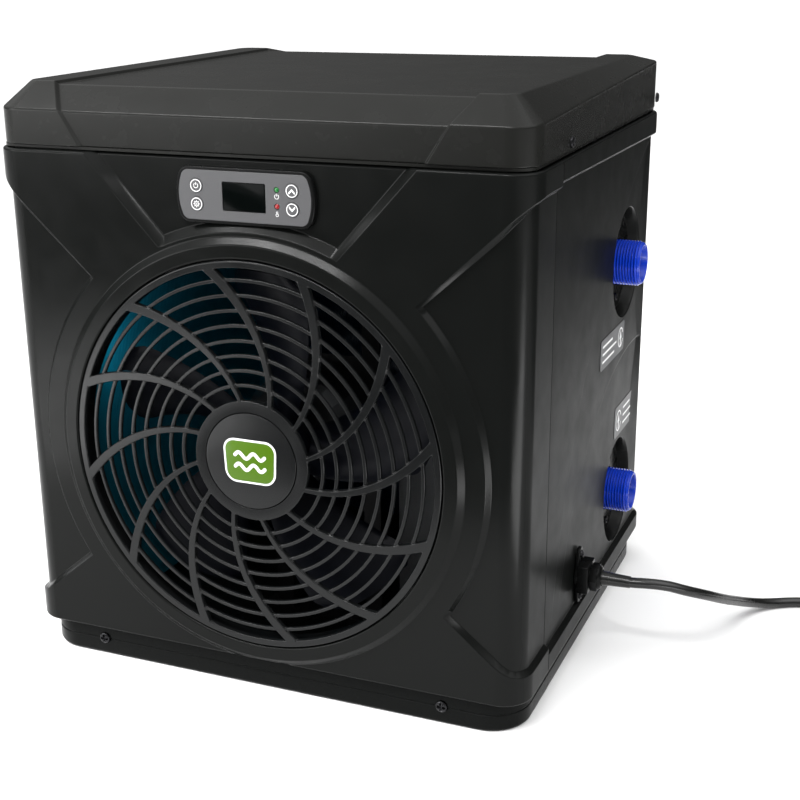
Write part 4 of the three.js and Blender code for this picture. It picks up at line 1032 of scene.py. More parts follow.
def lid_surface(flat, inset, edge):
    """The flat layout folded over the top, the chamfer and the side, inset from the outside."""
    chamfer = LID_FACETS[1]
    wall = LID_FACETS[2] - LID_FACETS[1]
    core = np.clip(flat, -LID_CORE, LID_CORE)
    away = flat - core
    rho = np.linalg.norm(away, axis=1)
    out = away / np.maximum(rho, 1e-9)[:, None]
    t = rho - LID_TOP_R
    knots = LID_FACETS[:2]
    radius = bent(t, LID_TOP_R, (1, (LID_SIDE_R - LID_TOP_R) / chamfer, 0), knots)
    growth = bent(t, 0, (0, LID_GROWTH / chamfer, 0), knots)
    down = [(LID_HEIGHTS[1] - LID_HEIGHTS[0]) / chamfer, (LID_HEIGHTS[2] - LID_HEIGHTS[1]) / wall]
    tilt = [(LID_RISES[1] - LID_RISES[0]) / chamfer, (LID_RISES[2] - LID_RISES[1]) / wall]
    height = bent(t, LID_HEIGHTS[0], (0, *down), knots)
    rise = bent(t, LID_RISES[0], (0, *tilt), knots)
    sink = bent(t, 1, (0, -0.5 / chamfer, -0.5 / wall), knots)
    radius = radius - np.minimum(inset, np.maximum(radius, 0))
    radius = radius - edge * edge_round(LID_FACETS[2] - t, LID_EDGE)
    spread_core = core * (1 + growth[:, None] / LID_CORE)
    plan = spread_core + out * np.where(rho > 1e-9, np.maximum(radius, 0), 0)[:, None]
    z = height - inset * sink + rise * (plan[:, 1] / DEPTH + 0.5)
    return np.column_stack([plan, z])


def lid_recess(flat):
    return LID_RELIEF * ramp(depth_inside(LID_MIDDLE, flat), *LID_WALL)


LID_MIDDLE = lid_middle()


def lid_outer(flat):
    return lid_surface(flat, lid_recess(flat), 1)


def lid_inner(flat):
    return lid_surface(flat, lid_recess(flat) + WALL, 0)


def lid_loop(t):
    return rounded_box(*(LID_CORE + LID_TOP_R + t), LID_TOP_R + t, count=10)


def top_lid():
    rim = LID_FACETS[2]
    skin = Skin(lid_loop(rim))
    bends = [k * LID_SOFT for k in (-1, -0.5, 0, 0.5, 1)]
    core_edge = 0.5 - LID_TOP_R
    guides = bends + [LID_FACETS[1] + b for b in bends] + [core_edge]
    guides += [rim - d for d in edge_guides(LID_EDGE)]
    for t in guides:
        skin.line(lid_loop(t), closed=True)
    for corner, far in zip(lid_loop(core_edge), lid_loop(rim)):
        skin.line([corner, far])
    skin.offsets(LID_MIDDLE, ramp_guides(*LID_WALL))
    reach = LID_CORE + LID_TOP_R + rim
    for x in np.linspace(-165, 165, 12):
        skin.line([(x, -reach[1] + 0.01), (x, reach[1] - 0.01)])
    for y in np.linspace(-145, 145, 11):
        skin.line([(-reach[0] + 0.01, y), (reach[0] - 0.01, y)])
    verts, faces, loops = skin.solid(lid_outer, lid_inner)
    make_piece("lid_shell", verts, faces, "lid", slot="lid_plastic", replaces=["top_lid"], normals=loops)


def lid_rim():
    """Locating rim under the lid, which closes the gap above the casing."""
    rings = []
    for half_x, half_y, z in LID_RIM:
        outline = rounded_box(half_x, half_y, 14, count=10)
        height = z + LID_RISES[0] * (outline[:, 1] / DEPTH + 0.5)
        rings.append(np.column_stack([outline, height]))
    make_piece("lid_rim", *closed_loft(rings), "lid", slot="lid_plastic")


# ------------------------------------------------------------------ fan grille
HUB_R = 44
OPEN_R = 136.3
RING_PITCH = 10.5
RING_HALF = 1.3
RINGS = 8
RIBS = 12
RIB_SWEEP = math.radians(0.35)    # for each mm of radius
RIB_START = math.radians(9)
RIB_STEP = 2 * math.pi / RIBS
CAP_R = 35
RING_SINK = 1.1                   # rings lie this far behind the ribs


def rib_angle(radius):
    return RIB_START + RIB_SWEEP * (radius - HUB_R)


def rib_half(radius):
    along = (radius - HUB_R) / (OPEN_R - HUB_R)
    return (3.2 + 5.3 * along) / 2 * 1.1 / radius


CELL_R = 1.3                      # cut at each corner of an opening


def softened(outline, corners, cut):
    """The outline with some of its corners rounded."""
    out = []
    for i, point in enumerate(outline):
        if i not in corners:
            out.append(point)
            continue
        before, after = outline[i - 1] - point, outline[(i + 1) % len(outline)] - point
        reach = min(cut, 0.45 * np.linalg.norm(before), 0.45 * np.linalg.norm(after))
        start = point + before / np.linalg.norm(before) * reach
        end = point + after / np.linalg.norm(after) * reach
        out += [(1 - t) ** 2 * start + 2 * t * (1 - t) * point + t * t * end for t in (0, 1 / 3, 2 / 3, 1)]
    return np.array(out)


def grille_cell(k, inner, outer):
    """Outline of the opening between two ribs and two rings."""
    def side(radii, which):
        half = rib_half(radii)
        return rib_angle(radii) + RIB_STEP * (k + which) + (-half if which else half)

    radii = np.linspace(inner, outer, 4)
    low, high = side(radii, 0), side(radii, 1)
    inner_run = [(inner, a) for a in np.linspace(high[0], low[0], 7)]
    outer_run = [(outer, a) for a in np.linspace(low[-1], high[-1], 9)]
    rise = [(r, a) for r, a in zip(radii[1:-1], low[1:-1])]
    fall = [(r, a) for r, a in zip(radii[-2:0:-1], high[-2:0:-1])]
    polar = inner_run + rise + outer_run + fall
    cell = np.array([(r * math.cos(a), FAN_Z + r * math.sin(a)) for r, a in polar])
    first_outer = len(inner_run) + len(rise)
    return softened(cell, (0, len(inner_run) - 1, first_outer, first_outer + len(outer_run) - 1), CELL_R)


def grille_cells():
    edges = [HUB_R]
    for i in range(1, RINGS + 1):
        edges += [HUB_R + RING_PITCH * i - RING_HALF, HUB_R + RING_PITCH * i + RING_HALF]
    edges.append(OPEN_R)
    return [grille_cell(k, a, b) for a, b in zip(edges[::2], edges[1::2]) for k in range(RIBS)]


def grille_depths(flat):
    """Depth into the rings, and into the ribs, hub or rim, at each point of the face."""
    x, z = flat[:, 0], flat[:, 1] - FAN_Z
    radius = np.maximum(np.hypot(x, z), 1)
    nearest = np.clip(np.round((radius - HUB_R) / RING_PITCH), 1, RINGS)
    ring = RING_HALF - np.abs(radius - HUB_R - RING_PITCH * nearest)
    turn = np.arctan2(z, x) - rib_angle(radius)
    turn = (turn + RIB_STEP / 2) % RIB_STEP - RIB_STEP / 2
    slope = 1 / np.sqrt(1 + (RIB_SWEEP * radius) ** 2)
    rib = (rib_half(radius) - np.abs(turn)) * radius * slope
    return ring, np.maximum.reduce([rib, HUB_R - radius, radius - OPEN_R]), radius


def grille_outer(flat):
    ring, rib, radius = grille_depths(flat)
    proud = ramp(rib - 0.1, 0.7, 0.4)
    drop = RING_SINK * (1 - proud) + edge_round(np.maximum(ring, rib), 0.7)
    drop = drop + edge_round(GRILLE_R - radius, 1.2)
    drop = drop + 1.7 * ramp(CAP_R + 0.5 - radius, 0.5, 0.3)
    return np.column_stack([flat[:, 0], GRILLE_FACE + drop, flat[:, 1]])


def grille_inner(flat):
    return np.column_stack([flat[:, 0], np.full(len(flat), FRONT - 0.4), flat[:, 1]])


def fan_grille():
    cells = grille_cells()
    skin = Skin(circle(0, FAN_Z, GRILLE_R, 180), cells)
    for cell in cells:
        skin.offsets(cell, (0.2, 0.7))
    for radius in (35.1, 35.35, 35.65, 35.9, 43.2, 137.2, 140.3, 141.0, 141.3):
        skin.line(circle(0, FAN_Z, radius, 144), closed=True)
    for k in range(RIBS):
        for side in (-1, 1):
            radii = np.linspace(HUB_R + 0.5, OPEN_R - 0.5, 40)
            for inset in (0.35, 1.0):
                slope = np.sqrt(1 + (RIB_SWEEP * radii) ** 2)
                angle = rib_angle(radii) + RIB_STEP * k + side * (rib_half(radii) - inset * slope / radii)
                skin.line(np.column_stack([radii * np.cos(angle), FAN_Z + radii * np.sin(angle)]))
    verts, faces, loops = skin.solid(grille_outer, grille_inner)
    make_piece("grille_face", verts, faces, "grille", slot="dark_plastic", replaces=["fan_grille"],
               normals=loops)
    inner, outer, flange = OPEN_R + 1, GRILLE_R - 1, GRILLE_R + 5
    skirt = revolve([(inner, FRONT - 0.9), (outer, FRONT - 0.9), (outer, FRONT + 7.5), (flange, FRONT + 7.5),
                     (flange, FRONT + 10), (inner, FRONT + 10), (inner, FRONT - 0.9)], 128, ALONG_Y,
                    (0, 0, FAN_Z))
    make_piece("grille_skirt", *skirt, "grille", slot="dark_plastic")


def hub():
    face = GRILLE_FACE - 0.2
    profile = [(0, face), (CAP_R, face), (CAP_R, face + 1.4), (0, face + 1.4)]
    cap = revolve(rounded_profile(profile, 0.7, 5), 96, ALONG_Y, (0, 0, FAN_Z))
    make_piece("hub_disc", *cap, "grille", slot="dark_plastic", replaces=["hub_cap"])


# ------------------------------------------------------------------ badge and labels
FACING = Matrix.Rotation(math.pi / 2, 3, "X")     # plan outlines turned to face -Y


def facing(solid, y=0, z=0, x=0):
    """A flat plate's (u, v, height) turned to face the front, its zero height at y."""
    return moved(solid, (x, y, z), FACING)


def hub_badge():
    """Plain green plate with a white rim and two waves, as a generic water mark."""
    back = GRILLE_FACE - 0.5
    outline = badge_outline(0)
    rim = facing(slab(outline, 0, 0.42, 0.25), back, FAN_Z)
    plate = facing(slab(grown(outline, -1.5), 0.3, 0.56, 0.2), back, FAN_Z)
    make_piece("badge_rim", *rim, "print", slot="badge_green", replaces=["hub_badge"])
    make_piece("badge_plate", *plate, "badge", slot="badge_green")
    waves = []
    for height in (-4.2, 4.2):
        x = np.linspace(-11.5, 11.5, 40)
        middle = np.column_stack([x, height + 2.1 * np.sin(x * math.pi / 5.75)])
        waves.append(facing(slab(thick_line(middle, 2.6), 0.53, 0.59, 0.01), back, FAN_Z))
    make_piece("badge_waves", *merged(*waves), "print", slot="badge_green")


def badge_outline(grow):
    """Rounded plate, a little wider at the top than at the bottom."""
    outline = rounded_box(20.2 + grow, 16.2 + grow, 8.8 + grow, count=10)
    widen = 1 + 0.035 * outline[:, 1] / 15.6
    return np.column_stack([outline[:, 0] * widen, outline[:, 1]])


def thick_line(path, width):
    """Closed outline of a stroke with round ends."""
    path = np.asarray(path, float)
    along = np.gradient(path, axis=0)
    along /= np.linalg.norm(along, axis=1)[:, None]
    across = np.column_stack([-along[:, 1], along[:, 0]]) * width / 2
    ends = []
    for point, run in ((path[-1], along[-1]), (path[0], -along[0])):
        start = math.degrees(math.atan2(run[1], run[0]))
        ends.append(arc(*point, width / 2, start - 90, start + 90, 8)[1:-1])
    return counterclockwise(np.vstack([path - across, ends[0], (path + across)[::-1], ends[1]]))


def ring_outline(cx, cy, radius, width, start=0, end=360, count=48):
    """Closed outline of an arc-shaped stroke; a full ring leaves a hairline gap."""
    outer = arc(cx, cy, radius + width / 2, start, end, count)
    inner = arc(cx, cy, radius - width / 2, end, start, count)
    return np.vstack([outer, inner])


LABELS = {                        # front, rear, low and high ends, and whether the ring is at the front
    "outlet_label": (18, 95, 209.5, 234, False),
    "inlet_label": (79, 147, 134.3, 161, True),
}


def side_label(name, y0, y1, z0, z1, ring_at_front):
    """Grey film that follows the side panel, with an arrow in a ring and plain rules."""
    s0, s1 = y0 - REAR_START, y1 - REAR_START
    outline = rounded_box((s1 - s0) / 2, (z1 - z0) / 2, 3, (s0 + s1) / 2, (z0 + z1) / 2, 4)

    def film(shapes, low, high):
        parts = []
        for shape in shapes:
            parts.append(Skin(shape).solid(lambda flat: rear_wrap(flat, rear_relief(flat) - high),
                                           lambda flat: rear_wrap(flat, rear_relief(flat) - low))[:2])
        return merged(*parts)

    make_piece(name + "_film", *film([outline], 0.05, 0.3), "label", slot="label_film", replaces=[name])
    middle = (z0 + z1) / 2
    half = (z1 - z0) / 2
    ring_s = s0 + half if ring_at_front else s1 - half
    radius = half * 0.62
    tip = np.array([(ring_s - 3.4, middle - 1), (ring_s + 3.4, middle - 1), (ring_s, middle + 6)])
    shapes = [ring_outline(ring_s, middle, radius, 1.3, 20, 340), tip,
              rectangle(ring_s - 1.2, ring_s + 1.2, middle - 7, middle - 1)]
    first = ring_s + half + 2 if ring_at_front else s0 + 6
    last = s1 - 6 if ring_at_front else ring_s - half - 2
    for k, share in enumerate((0.7, 1.0, 0.85)):
        height = middle + (1 - k) * half * 0.5
        shapes.append(rectangle(first, first + (last - first) * share, height - 0.9, height + 0.9))
    make_piece(name + "_print", *film(shapes, 0.3, 0.36), "print", slot="label_film")


# ------------------------------------------------------------------ keypad
KEY_X = 35.5
KEY_DZ = 6.1
KEY_R = 4.8
PANEL_FACE = FRONT + PANEL_RELIEF - 0.3
OVERLAY_FACE = PANEL_FACE - 4
KEYPAD_HALF = (45.2, 16.7)
KEYPAD_EDGE = 0.4
KEYPAD_RIM_EDGE = 1.2
LED_X = 24.3
LED_Z = {"red": 359.3 - KEYPAD_Z, "green": 370.2 - KEYPAD_Z}
KEYS = (("power", -KEY_X, KEY_DZ), ("mode", -KEY_X, -KEY_DZ), ("up", KEY_X, KEY_DZ), ("down", KEY_X, -KEY_DZ))


def keypad_outline(grow, bow=4.0, radius=3.4):
    """Straight top and bottom with rounded corners and sides that bow outwards."""
    half_x, half_z = KEYPAD_HALF
    outline = rounded_box(half_x + grow, half_z + grow, radius + grow, count=8)
    rows = []
    for side in (1, -1):
        edge = np.linspace(-1, 1, 13)[1:-1] * (half_z - radius)
        rows.append(np.column_stack([np.full(11, side * (half_x + grow)), edge * side]))
    corner = len(outline) // 4
    full = np.vstack([outline[:corner], rows[0], outline[corner:3 * corner], rows[1], outline[3 * corner:]])
    lean = 1 - (full[:, 1] / (half_z + grow)) ** 2
    return np.column_stack([full[:, 0] + np.sign(full[:, 0]) * bow * lean, full[:, 1]])


def keypad_plate(edge, holes, face, radius, back):
    """A plate on the keypad panel from its front face to its back, with a rounded outer edge."""
    skin = Skin(edge, holes)
    skin.offsets(edge, [-d for d in edge_guides(radius)])

    def at(flat, y):
        return np.column_stack([flat[:, 0], y, flat[:, 1] + KEYPAD_Z])

    return skin.solid(lambda flat: at(flat, face + edge_round(depth_inside(edge, flat), radius)),
                      lambda flat: at(flat, np.full(len(flat), back)))


def keypad():
    """Rim, face, screen, backing plate and lamp lenses."""
    verts, faces, loops = keypad_plate(keypad_outline(2.2), [keypad_outline(-0.6)], OVERLAY_FACE + 0.2,
                                       KEYPAD_RIM_EDGE, PANEL_FACE)
    make_piece("keypad_rim", verts, faces, "dark", slot="dark_plastic", replaces=["keypad_frame"],
               normals=loops)
    holes = [circle(x, z, KEY_R + 0.25, 40) for _, x, z in KEYS]
    holes += [circle(LED_X, z, 2.0, 24) for z in LED_Z.values()]
    holes.append(rounded_box(16.1, 9.7, 1, 0, 0, 3))
    verts, faces, loops = keypad_plate(keypad_outline(0), holes, OVERLAY_FACE, KEYPAD_EDGE,
                                       OVERLAY_FACE + 1.3)
    make_piece("keypad_face", verts, faces, "keypad", slot="keypad_film", replaces=["keypad_overlay"],
               normals=loops)
    screen = facing(slab(rounded_box(15.8, 9.4, 0.8, count=3), -5.5, 0.1, 0.3), OVERLAY_FACE, KEYPAD_Z)
    make_piece("screen_pane", *screen, "screen", slot="display_glass", replaces=["display_window"])
    backing = facing(slab(rounded_box(44, 14.4, 1, count=2), -3.4, -2.4, 0.2), OVERLAY_FACE, KEYPAD_Z)
    make_piece("keypad_backing", *backing, "dark", slot="dark_plastic")
    for color, z in LED_Z.items():
        dome = revolve([(0, 0.2), (0.9, 0.28), (1.5, 0.55), (1.8, 1), (1.8, 2.2), (0, 2.2)], 24, ALONG_Y,
                       (LED_X, OVERLAY_FACE - 0.5, KEYPAD_Z + z))
        make_piece(color + "_lens", *dome, color, slot=color + "_lens", replaces=[color + "_led"])


def key_symbol(name):
    """Strokes of each key's symbol, about the key's middle."""
    if name == "power":
        return [ring_outline(0, 0, 1.55, 0.42, -240, 60, 20), rectangle(-0.21, 0.21, 0.4, 2.2)]
    if name == "mode":
        teeth = [thick_line([(r * math.cos(a), r * math.sin(a)) for r in (1.6, 2.15)], 0.5)
                 for a in np.linspace(0, 2 * math.pi, 9)[:-1]]
        return [ring_outline(0, 0, 1.45, 0.42, 0, 359), ring_outline(0, 0, 0.5, 0.3, 0, 359, 16), *teeth]
    tip = 1.5 if name == "up" else -1.5
    chevron = np.array([(-2.2, -tip * 0.6), (0, tip * 0.9), (2.2, -tip * 0.6)])
    return [counterclockwise(np.vstack([chevron, (chevron - [0, 1.5 * np.sign(tip)])[::-1]]))]


def keys():
    for name, x, z in KEYS:
        face = OVERLAY_FACE - 0.5
        profile = [(0, 0), (KEY_R, 0), (KEY_R, 1.6), (KEY_R + 0.2, 1.7), (KEY_R + 0.2, 2.0), (0, 2.0)]
        cap = revolve(rounded_profile(profile, 0.35), 40, ALONG_Y, (x, face, KEYPAD_Z + z))
        make_piece(name + "_key_cap", *cap, "keypad", body=name + "_key", slot="key_film",
                   replaces=[name + "_button"])
        shapes = [ring_outline(0, 0, 3.9, 0.55, 0, 359), *key_symbol(name)]
        marks = [facing(slab(counterclockwise(shape), -0.02, 0.02, 0.005, steps=1), face, KEYPAD_Z + z, x)
                 for shape in shapes]
        make_piece(name + "_key_print", *merged(*marks), "print", body=name + "_key", slot="key_film")
    signs = [ring_outline(LED_X, LED_Z["green"] - 4.4, 1.5, 0.35, -240, 60, 20),
             rectangle(LED_X - 0.18, LED_X + 0.18, LED_Z["green"] - 4.2, LED_Z["green"] - 2.4),
             ring_outline(LED_X, LED_Z["red"] - 5.6, 0.9, 0.35, 0, 359, 16),
             ring_outline(LED_X, LED_Z["red"] - 3.9, 0.55, 0.3, -60, 240, 14)]
    marks = [facing(slab(counterclockwise(shape), -0.02, 0.03, 0.005, steps=1), OVERLAY_FACE, KEYPAD_Z)
             for shape in signs]
    make_piece("lamp_signs", *merged(*marks), "print", slot="key_film")


# ------------------------------------------------------------------ screws
PAN_PROFILE = ((1, 0), (1, 0.35), (0.93, 0.68), (0.78, 0.86), (0.58, 0.96), (0.3, 1), (0.12, 1))


def pan_head(radius, height, turn, place):
    """Pan head with a cross recess, its top towards +Z before it is turned into place."""
    quarter = math.pi / 2
    steps = 48
    rings = []
    for r, z in [(out * radius, up * height) for out, up in PAN_PROFILE] + [(0.02, height)]:
        ring = []
        for i in range(steps):
            angle = 2 * math.pi * i / steps
            fold = abs((angle + quarter / 2) % quarter - quarter / 2) * r
            deep = 0.62 * height if fold < 0.16 * radius and r < 0.62 * radius else 0
            ring.append((r * math.cos(angle), r * math.sin(angle), z - deep))
        rings.append(ring)
    return moved(lofted(rings), place, turn)


def fastener(name, head, replaces=()):
    make_piece(name, *head, "screw", slot="screw_steel", replaces=replaces, angle=30)


def screws():
    for i, x in enumerate((-139, 139)):
        head = pan_head(4.4, 2.4, FACING, (x, FRONT + 5.2, 14))
        fastener(f"base_screw_head_{i + 1}", head, [f"base_screw_{i + 1}"])
    for side, name in ((1, "right"), (-1, "left")):
        turn = Matrix.Rotation(side * math.pi / 2, 3, "Y")
        for i, (y, z) in enumerate(((-96, 398.6), (165, 404.5))):
            head = pan_head(3.9, 2.2, turn, (side * 197.7, y, z))
            fastener(f"lid_screw_head_{name}_{i + 1}", head, [f"lid_screw_{name}_{i + 1}"])


# ------------------------------------------------------------------ water connectors
PORT_END_X = 209
THREAD_R = 18
THREAD_ROOT_R = THREAD_R - 1.15
THREAD_START_X = 174.5
THREAD_PITCH = 2.309              # 1 in pipe thread
BORE_R = 14


def thread(start, end, root, crest, pitch, segments=72):
    """Outside of a threaded sleeve: one helical ridge with run-out at both ends, and a smooth bore."""
    rows = int((end - start) / pitch * 14)
    rings = []
    for row in range(rows + 1):
        x = start + (end - start) * row / rows
        ring = []
        for i in range(segments):
            angle = 2 * math.pi * i / segments
            phase = (x / pitch - i / segments) % 1
            ridge = max(0, 1 - abs(phase - 0.5) / 0.42)
            fade = min(1, (end - 1.6 - x) / 1.5, (x - start) / 1.0)
            radius = root + (crest - root) * min(1, ridge * 1.35) * max(fade, 0)
            chamfer = max(0, x - (end - 1.4))
            ring.append((radius - 0.75 * chamfer, angle, x))
        rings.append(ring)
    for x, radius in ((end, BORE_R + 0.5), (end - 0.5, BORE_R), (start, BORE_R)):
        rings.append([(radius, 2 * math.pi * i / segments, x) for i in range(segments)])
    return closed_loft([[(x, r * math.cos(a), r * math.sin(a)) for r, a, x in ring] for ring in rings])


def water_connectors():
    for name, z in PORT_Z.items():
        place = (0, PORT_Y, z)
        sleeve = moved(thread(THREAD_START_X, PORT_END_X, THREAD_ROOT_R, THREAD_R, THREAD_PITCH), place)
        make_piece(name + "_thread", *sleeve, "blue", slot="connector_blue",
                   replaces=[name + "_connector"], angle=60)
        back = PORT_FLOOR_X + 0.3
        flange = revolve([(THREAD_R + 0.6, back), (40.2, back), (40.2, back + 1.6), (39.4, back + 2.4),
                          (30, back + 2.4), (29, back + 2.6), (24, back + 2.8), (21.5, back + 3),
                          (THREAD_R + 0.6, back + 3), (THREAD_R + 0.6, back)], 96, ALONG_X, place)
        ribs = []
        for k in range(8):
            angle = math.pi / 8 + k * math.pi / 4
            rib = brick(21, 38.5, -0.8, 0.8, 0, 1.0, 0.3)
            turn = ALONG_X @ Matrix.Rotation(angle, 3, "Z")
            ribs.append(moved(rib, (back + 2.0, PORT_Y, z), turn))
        make_piece(name + "_flange_disc", *merged(flange, *ribs), "dark", slot="dark_plastic",
                   replaces=[name + "_flange"])
        for k, dz in enumerate((29, -29)):
            head = pan_head(3.4, 2.2, ALONG_X, (back + 2.4, PORT_Y, z + dz))
            fastener(f"{name}_flange_screw_head_{k + 1}", head,
                     [name + "_flange_screw"] if k == 0 else ())


# ------------------------------------------------------------------ cable gland
def cable_gland():
    """Plate with two screws, square block, collar, hexagon nut and domed end."""
    panel = GLAND_X + 0.3
    middle = (panel, GLAND_Y, GLAND_Z)
    ears = []
    for sign in (1, -1):
        ears.append(arc(0, sign * 17, 6, 20 if sign > 0 else 200, 160 if sign > 0 else 340, 16))
    body = [arc(-2, 0, 9, 130, 230, 8), arc(2, 0, 9, -50, 50, 8)]
    outline = counterclockwise(np.vstack([ears[0], body[0], ears[1], body[1]]))
    upright = Matrix(((0, 0, 1), (1, 0, 0), (0, 1, 0)))
    plate = moved(slab(outline, 0, 2.7, 0.7), middle, upright)
    make_piece("gland_plate", *plate, "dark", slot="dark_plastic", replaces=["gland_flange"])
    for k, dz in enumerate((17.5, -17.5)):
        head = pan_head(2.9, 1.8, ALONG_X, (panel + 2.6, GLAND_Y, GLAND_Z + dz))
        fastener(f"gland_screw_{k + 1}", head)
    block = moved(slab(rounded_box(11.2, 11.2, 1.6, count=4), 2.4, 11, 0.8), middle, upright)
    hexagon = np.array([(11 * math.cos(a), 11 * math.sin(a)) for a in np.linspace(0, 2 * math.pi, 7)[:-1]])
    nut = moved(slab(hexagon, 11.2, 17.2, 0.9), middle, upright)
    bore = CORD_R + 2.6
    profile = rounded_profile([(bore, 16.5), (9.6, 16.5), (9.3, 18), (7.4, 19.7), (bore, 19.7)], 0.6)
    dome = revolve([*profile, (bore, 16.5)], 48, ALONG_X, middle)
    collar = revolve([(0, 10.4), (9.5, 10.4), (9.5, 11.8), (0, 11.8)], 40, ALONG_X, middle)
    make_piece("gland_body", *merged(block, nut, dome, collar), "dark", slot="dark_plastic",
               replaces=["cable_gland"])


# ------------------------------------------------------------------ fan and coil seen through the grille
FAN_Y = -148
FAN_HUB_R = 30
FAN_TIP_R = 128
BLADES = 5
FIN_PITCH = 2.1


def fan_blade(turn):
    """One twisted, cambered blade with a thin rounded edge."""
    stations, steps = 18, 18
    rings = []
    for s in range(stations + 1):
        t = s / stations
        radius = FAN_HUB_R - 3 + (FAN_TIP_R - FAN_HUB_R + 3) * t
        pitch = math.radians(38 - 16 * t)
        round_off = math.sqrt(max(1 - max(t - 0.86, 0) ** 2 / 0.14 ** 2 * 0.55, 0))
        chord = (34 + 52 * t) * round_off
        lean = 0.35 * t
        ring = []
        for side in (1, -1):
            for c in range(steps + 1):
                u = (c / steps - 0.5) * side
                camber = 5 * (1 - 4 * u * u)
                half = side * (0.15 + 1.3 * math.sqrt(max(1 - 4 * u * u, 0)))
                across = u * chord * math.cos(pitch)
                depth = u * chord * math.sin(pitch) - camber + half
                angle = turn + lean + across / radius
                ring.append((radius * math.cos(angle), FAN_Y + depth, FAN_Z + radius * math.sin(angle)))
        rings.append(np.array(ring))
    return lofted(rings)


def fan_wheel():
    profile = [(0, -17), (16, -17), (22, -16), (27.5, -12.5), (30, -6), (30, 18), (0, 18)]
    hub_body = revolve(rounded_profile([(r, FAN_Y + y) for r, y in profile], 2.5), 64, ALONG_Y, (0, 0, FAN_Z))
    blades = [fan_blade(2 * math.pi * k / BLADES) for k in range(BLADES)]
    make_piece("fan_impeller", *merged(hub_body, *blades), "fan", body="fan", slot="dark_plastic",
               replaces=["fan_wheel"], angle=45)


def evaporator():
    """L-shaped block of thin fins crossed by copper tubes."""
    low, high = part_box("evaporator")
    left, rear = 1000 * low.x, 1000 * high.y
    front, right = 1000 * low.y, 1000 * high.x
    z0, z1 = 1000 * low.z, 1000 * high.z
    depth, bend = 22, 32
    fins = [((left + depth / 2, y), 0.0) for y in np.arange(front, rear - bend, FIN_PITCH)]
    for k in range(1, 18):
        a = math.pi / 2 * k / 18
        radius = bend - depth / 2
        fins.append(((left + bend - radius * math.cos(a), rear - bend + radius * math.sin(a)), -a))
    fins += [((x, rear - depth / 2), -math.pi / 2) for x in np.arange(left + bend, right - 1, FIN_PITCH)]
    plates = []
    for (x, y), turn in fins:
        fin = brick(-depth / 2, depth / 2, -0.2, 0.2, z0, z1, 0.05)
        plates.append(moved(fin, (x, y, 0), Matrix.Rotation(turn, 3, "Z")))
    make_piece("evaporator_fins", *merged(*plates), "fins", slot="fin_aluminium", replaces=["evaporator"])
    tubes = []
    length = rear - bend - front - 1
    for row in range(14):
        for offset in (-5.5, 5.5):
            z = z0 + 14 + row * 25.4 + (6 if offset > 0 else -6)
            tubes.append(revolve([(0, 0), (4.2, 0), (4.2, length), (0, length)], 12, ALONG_Y,
                                 (left + depth / 2 + offset, front + 0.5, z)))
    make_piece("evaporator_tubes", *merged(*tubes), "copper", slot="copper")


# ------------------------------------------------------------------ floor and light
FLOOR_REACH = 40                  # metres, as are all sizes in this section
FLOOR_WHITE = 0.96
CARD_DARK = 0.03
CARD_HEIGHT = 0.002
CARDS = {                         # left, right, front and rear ends of the dark cards on the floor
    "front_flag": (-0.33, 1.4, -1.05, -0.54),
    "far_flag": (-1.5, 1.4, -3.5, -1.08),
    "rear_flag": (0.39, 8, 0.30, 12),
}
SOFTBOXES = {                     # place, target, size and watts
    "left_front": ((-1.9, -1.3, 1.0), (-0.1, -0.1, 0.2), (0.9, 1.4), 14),
    "low_front": ((-0.85, -1.25, 0.52), (-0.1, -0.18, 0.42), (0.9, 0.40), 9),
    "floor_left": ((-0.56, -0.74, 0.01), (-0.56, -0.74, 1), (0.32, 0.5), 2.2),
    "floor_right": ((0.85, -0.40, 0.01), (0.85, -0.40, 1), (0.8, 0.3), 8),
    "overhead": ((-0.45, -1.05, 1.9), (0, 0, 0.3), (1.8, 0.07), 42),
    "right_top": ((1.3, -0.1, 1.8), (0.3, 0.1, 0), (1.6, 1.6), 12),
    "inside_left": ((-0.150, -0.12, 0.26), (-0.188, -0.02, 0.24), (0.02, 0.10), 0.030),
}
TINTED = {"inside_left": (0.75, 0.92, 1)}


def flat_card(name, x0, x1, y0, y1, z, color, drift):
    mesh = bpy.data.meshes.new(name)
    mesh.from_pydata([(x0, y0, z), (x1, y0, z), (x1, y1, z), (x0, y1, z)], [], [(0, 1, 2, 3)])
    material, shader = new_material(name, (color,) * 3, 0.9, specular=0.1)
    patches = noise(material, 1.5, 2)
    low, high = (color * (1 - drift),) * 3, (color * (1 + drift),) * 3
    material.node_tree.links.new(tint(material, patches, low, high), shader.inputs["Base Color"])
    mesh.materials.append(material)
    card = bpy.data.objects.new(name, mesh)
    bpy.context.scene.collection.objects.link(card)


def softbox(name, place, target, size, watts, color):
    data = bpy.data.lights.new(name, "AREA")
    data.shape = "RECTANGLE"
    data.size, data.size_y = size
    data.energy = watts
    data.color = color
    lamp = bpy.data.objects.new(name, data)
    lamp.location = place
    lamp.rotation_euler = (Vector(target) - Vector(place)).to_track_quat("-Z", "Y").to_euler()
    bpy.context.scene.collection.objects.link(lamp)


SKY = ((0.0, 0.16), (0.30, 0.42), (0.62, 1.50), (1.0, 1.90))   # height of the direction, strength
SKY_SCALE = 3                     # brings the curve's 0 to 1 back to a strength
REAR = (0.38, 0.92, 0)            # the dome is darker towards the rear
REAR_STRENGTH = 0.20


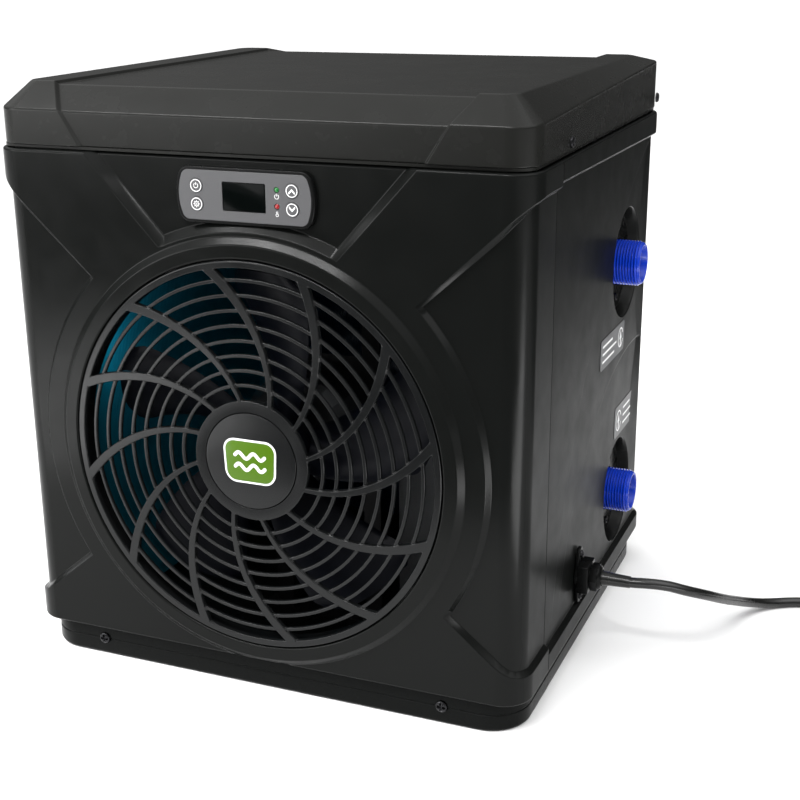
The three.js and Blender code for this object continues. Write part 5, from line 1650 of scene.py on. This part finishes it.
def sky():
    """White studio dome: dim at the horizon and bright overhead."""
    world = bpy.data.worlds.new("studio")
    bpy.context.scene.world = world
    world.use_nodes = True
    nodes, links = world.node_tree.nodes, world.node_tree.links
    place = nodes.new("ShaderNodeTexCoord")
    split = nodes.new("ShaderNodeSeparateXYZ")
    links.new(place.outputs["Generated"], split.inputs["Vector"])
    curve = nodes.new("ShaderNodeFloatCurve")
    points = curve.mapping.curves[0].points
    points[0].location = (0, SKY[0][1] / SKY_SCALE)
    points[1].location = (1, SKY[-1][1] / SKY_SCALE)
    for height, strength in SKY[1:-1]:
        points.new(height, strength / SKY_SCALE)
    curve.mapping.update()
    links.new(split.outputs["Z"], curve.inputs["Value"])
    scale = nodes.new("ShaderNodeMath")
    scale.operation = "MULTIPLY"
    scale.inputs[1].default_value = SKY_SCALE
    links.new(curve.outputs["Value"], scale.inputs[0])
    toward = nodes.new("ShaderNodeVectorMath")
    toward.operation = "DOT_PRODUCT"
    toward.inputs[1].default_value = REAR
    links.new(place.outputs["Generated"], toward.inputs[0])
    fade = spread(world, toward.outputs["Value"], 1.0, REAR_STRENGTH, 0.1, 0.9)
    strength = nodes.new("ShaderNodeMath")
    strength.operation = "MULTIPLY"
    links.new(scale.outputs["Value"], strength.inputs[0])
    links.new(fade, strength.inputs[1])
    links.new(strength.outputs["Value"], nodes["Background"].inputs["Strength"])
    nodes["Background"].inputs["Color"].default_value = (1, 1, 1, 1)


def studio():
    sky()
    flat_card("floor", -FLOOR_REACH, FLOOR_REACH, -FLOOR_REACH, FLOOR_REACH, 0, FLOOR_WHITE, 0.01)
    for name, ends in CARDS.items():
        flat_card(name, *ends, CARD_HEIGHT, CARD_DARK, 0.1)
    for name, settings in SOFTBOXES.items():
        softbox(name, *settings, TINTED.get(name, (1, 1, 1)))
    bpy.context.scene.view_settings.view_transform = "Standard"


# ------------------------------------------------------------------ everything
CARRIED = {
    "can": ["run_capacitor"], "sheet": ["partition_panel", "electrical_box"],
    # the motor bracket takes the black enamel as painted shade inside the casing; the compressor has it as
    # its own colour
    "motor": ["fan_motor"], "screw": ["fan_shaft", "fan_nut"], "shell": ["compressor", "motor_bracket"],
    "rubber": ["compressor_mount"], "dark": ["flow_switch"], "ceramic": ["terminal_block"],
    "copper": ["evaporator_header", "accumulator", "suction_pipe", "discharge_pipe", "liquid_pipe"],
    "water": ["heat_exchanger", "inlet_pipe", "outlet_pipe"], "board": ["control_board", "power_board"],
}


def finish_carried_nodes():
    """Materials and softened edges for the CAD pieces that stay."""
    for material, names in CARRIED.items():
        for name in names:
            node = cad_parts[name]
            node.data.materials.clear()
            node.data.materials.append(MATERIAL[material])
            bevel = node.modifiers.new("soft_edges", "BEVEL")
            bevel.width = 0.5 * MM
            bevel.segments = 2
            bevel.limit_method = "ANGLE"
            bevel.angle_limit = math.radians(40)


def build():
    make_camera()
    studio()
    mains_lead()
    front_casing()
    rear_casing()
    vent_blades()
    base_tray()
    top_lid()
    lid_rim()
    fan_grille()
    hub()
    hub_badge()
    for name, ends in LABELS.items():
        side_label(name, *ends)
    keypad()
    keys()
    screws()
    water_connectors()
    cable_gland()
    fan_wheel()
    evaporator()
    finish_carried_nodes()


build()
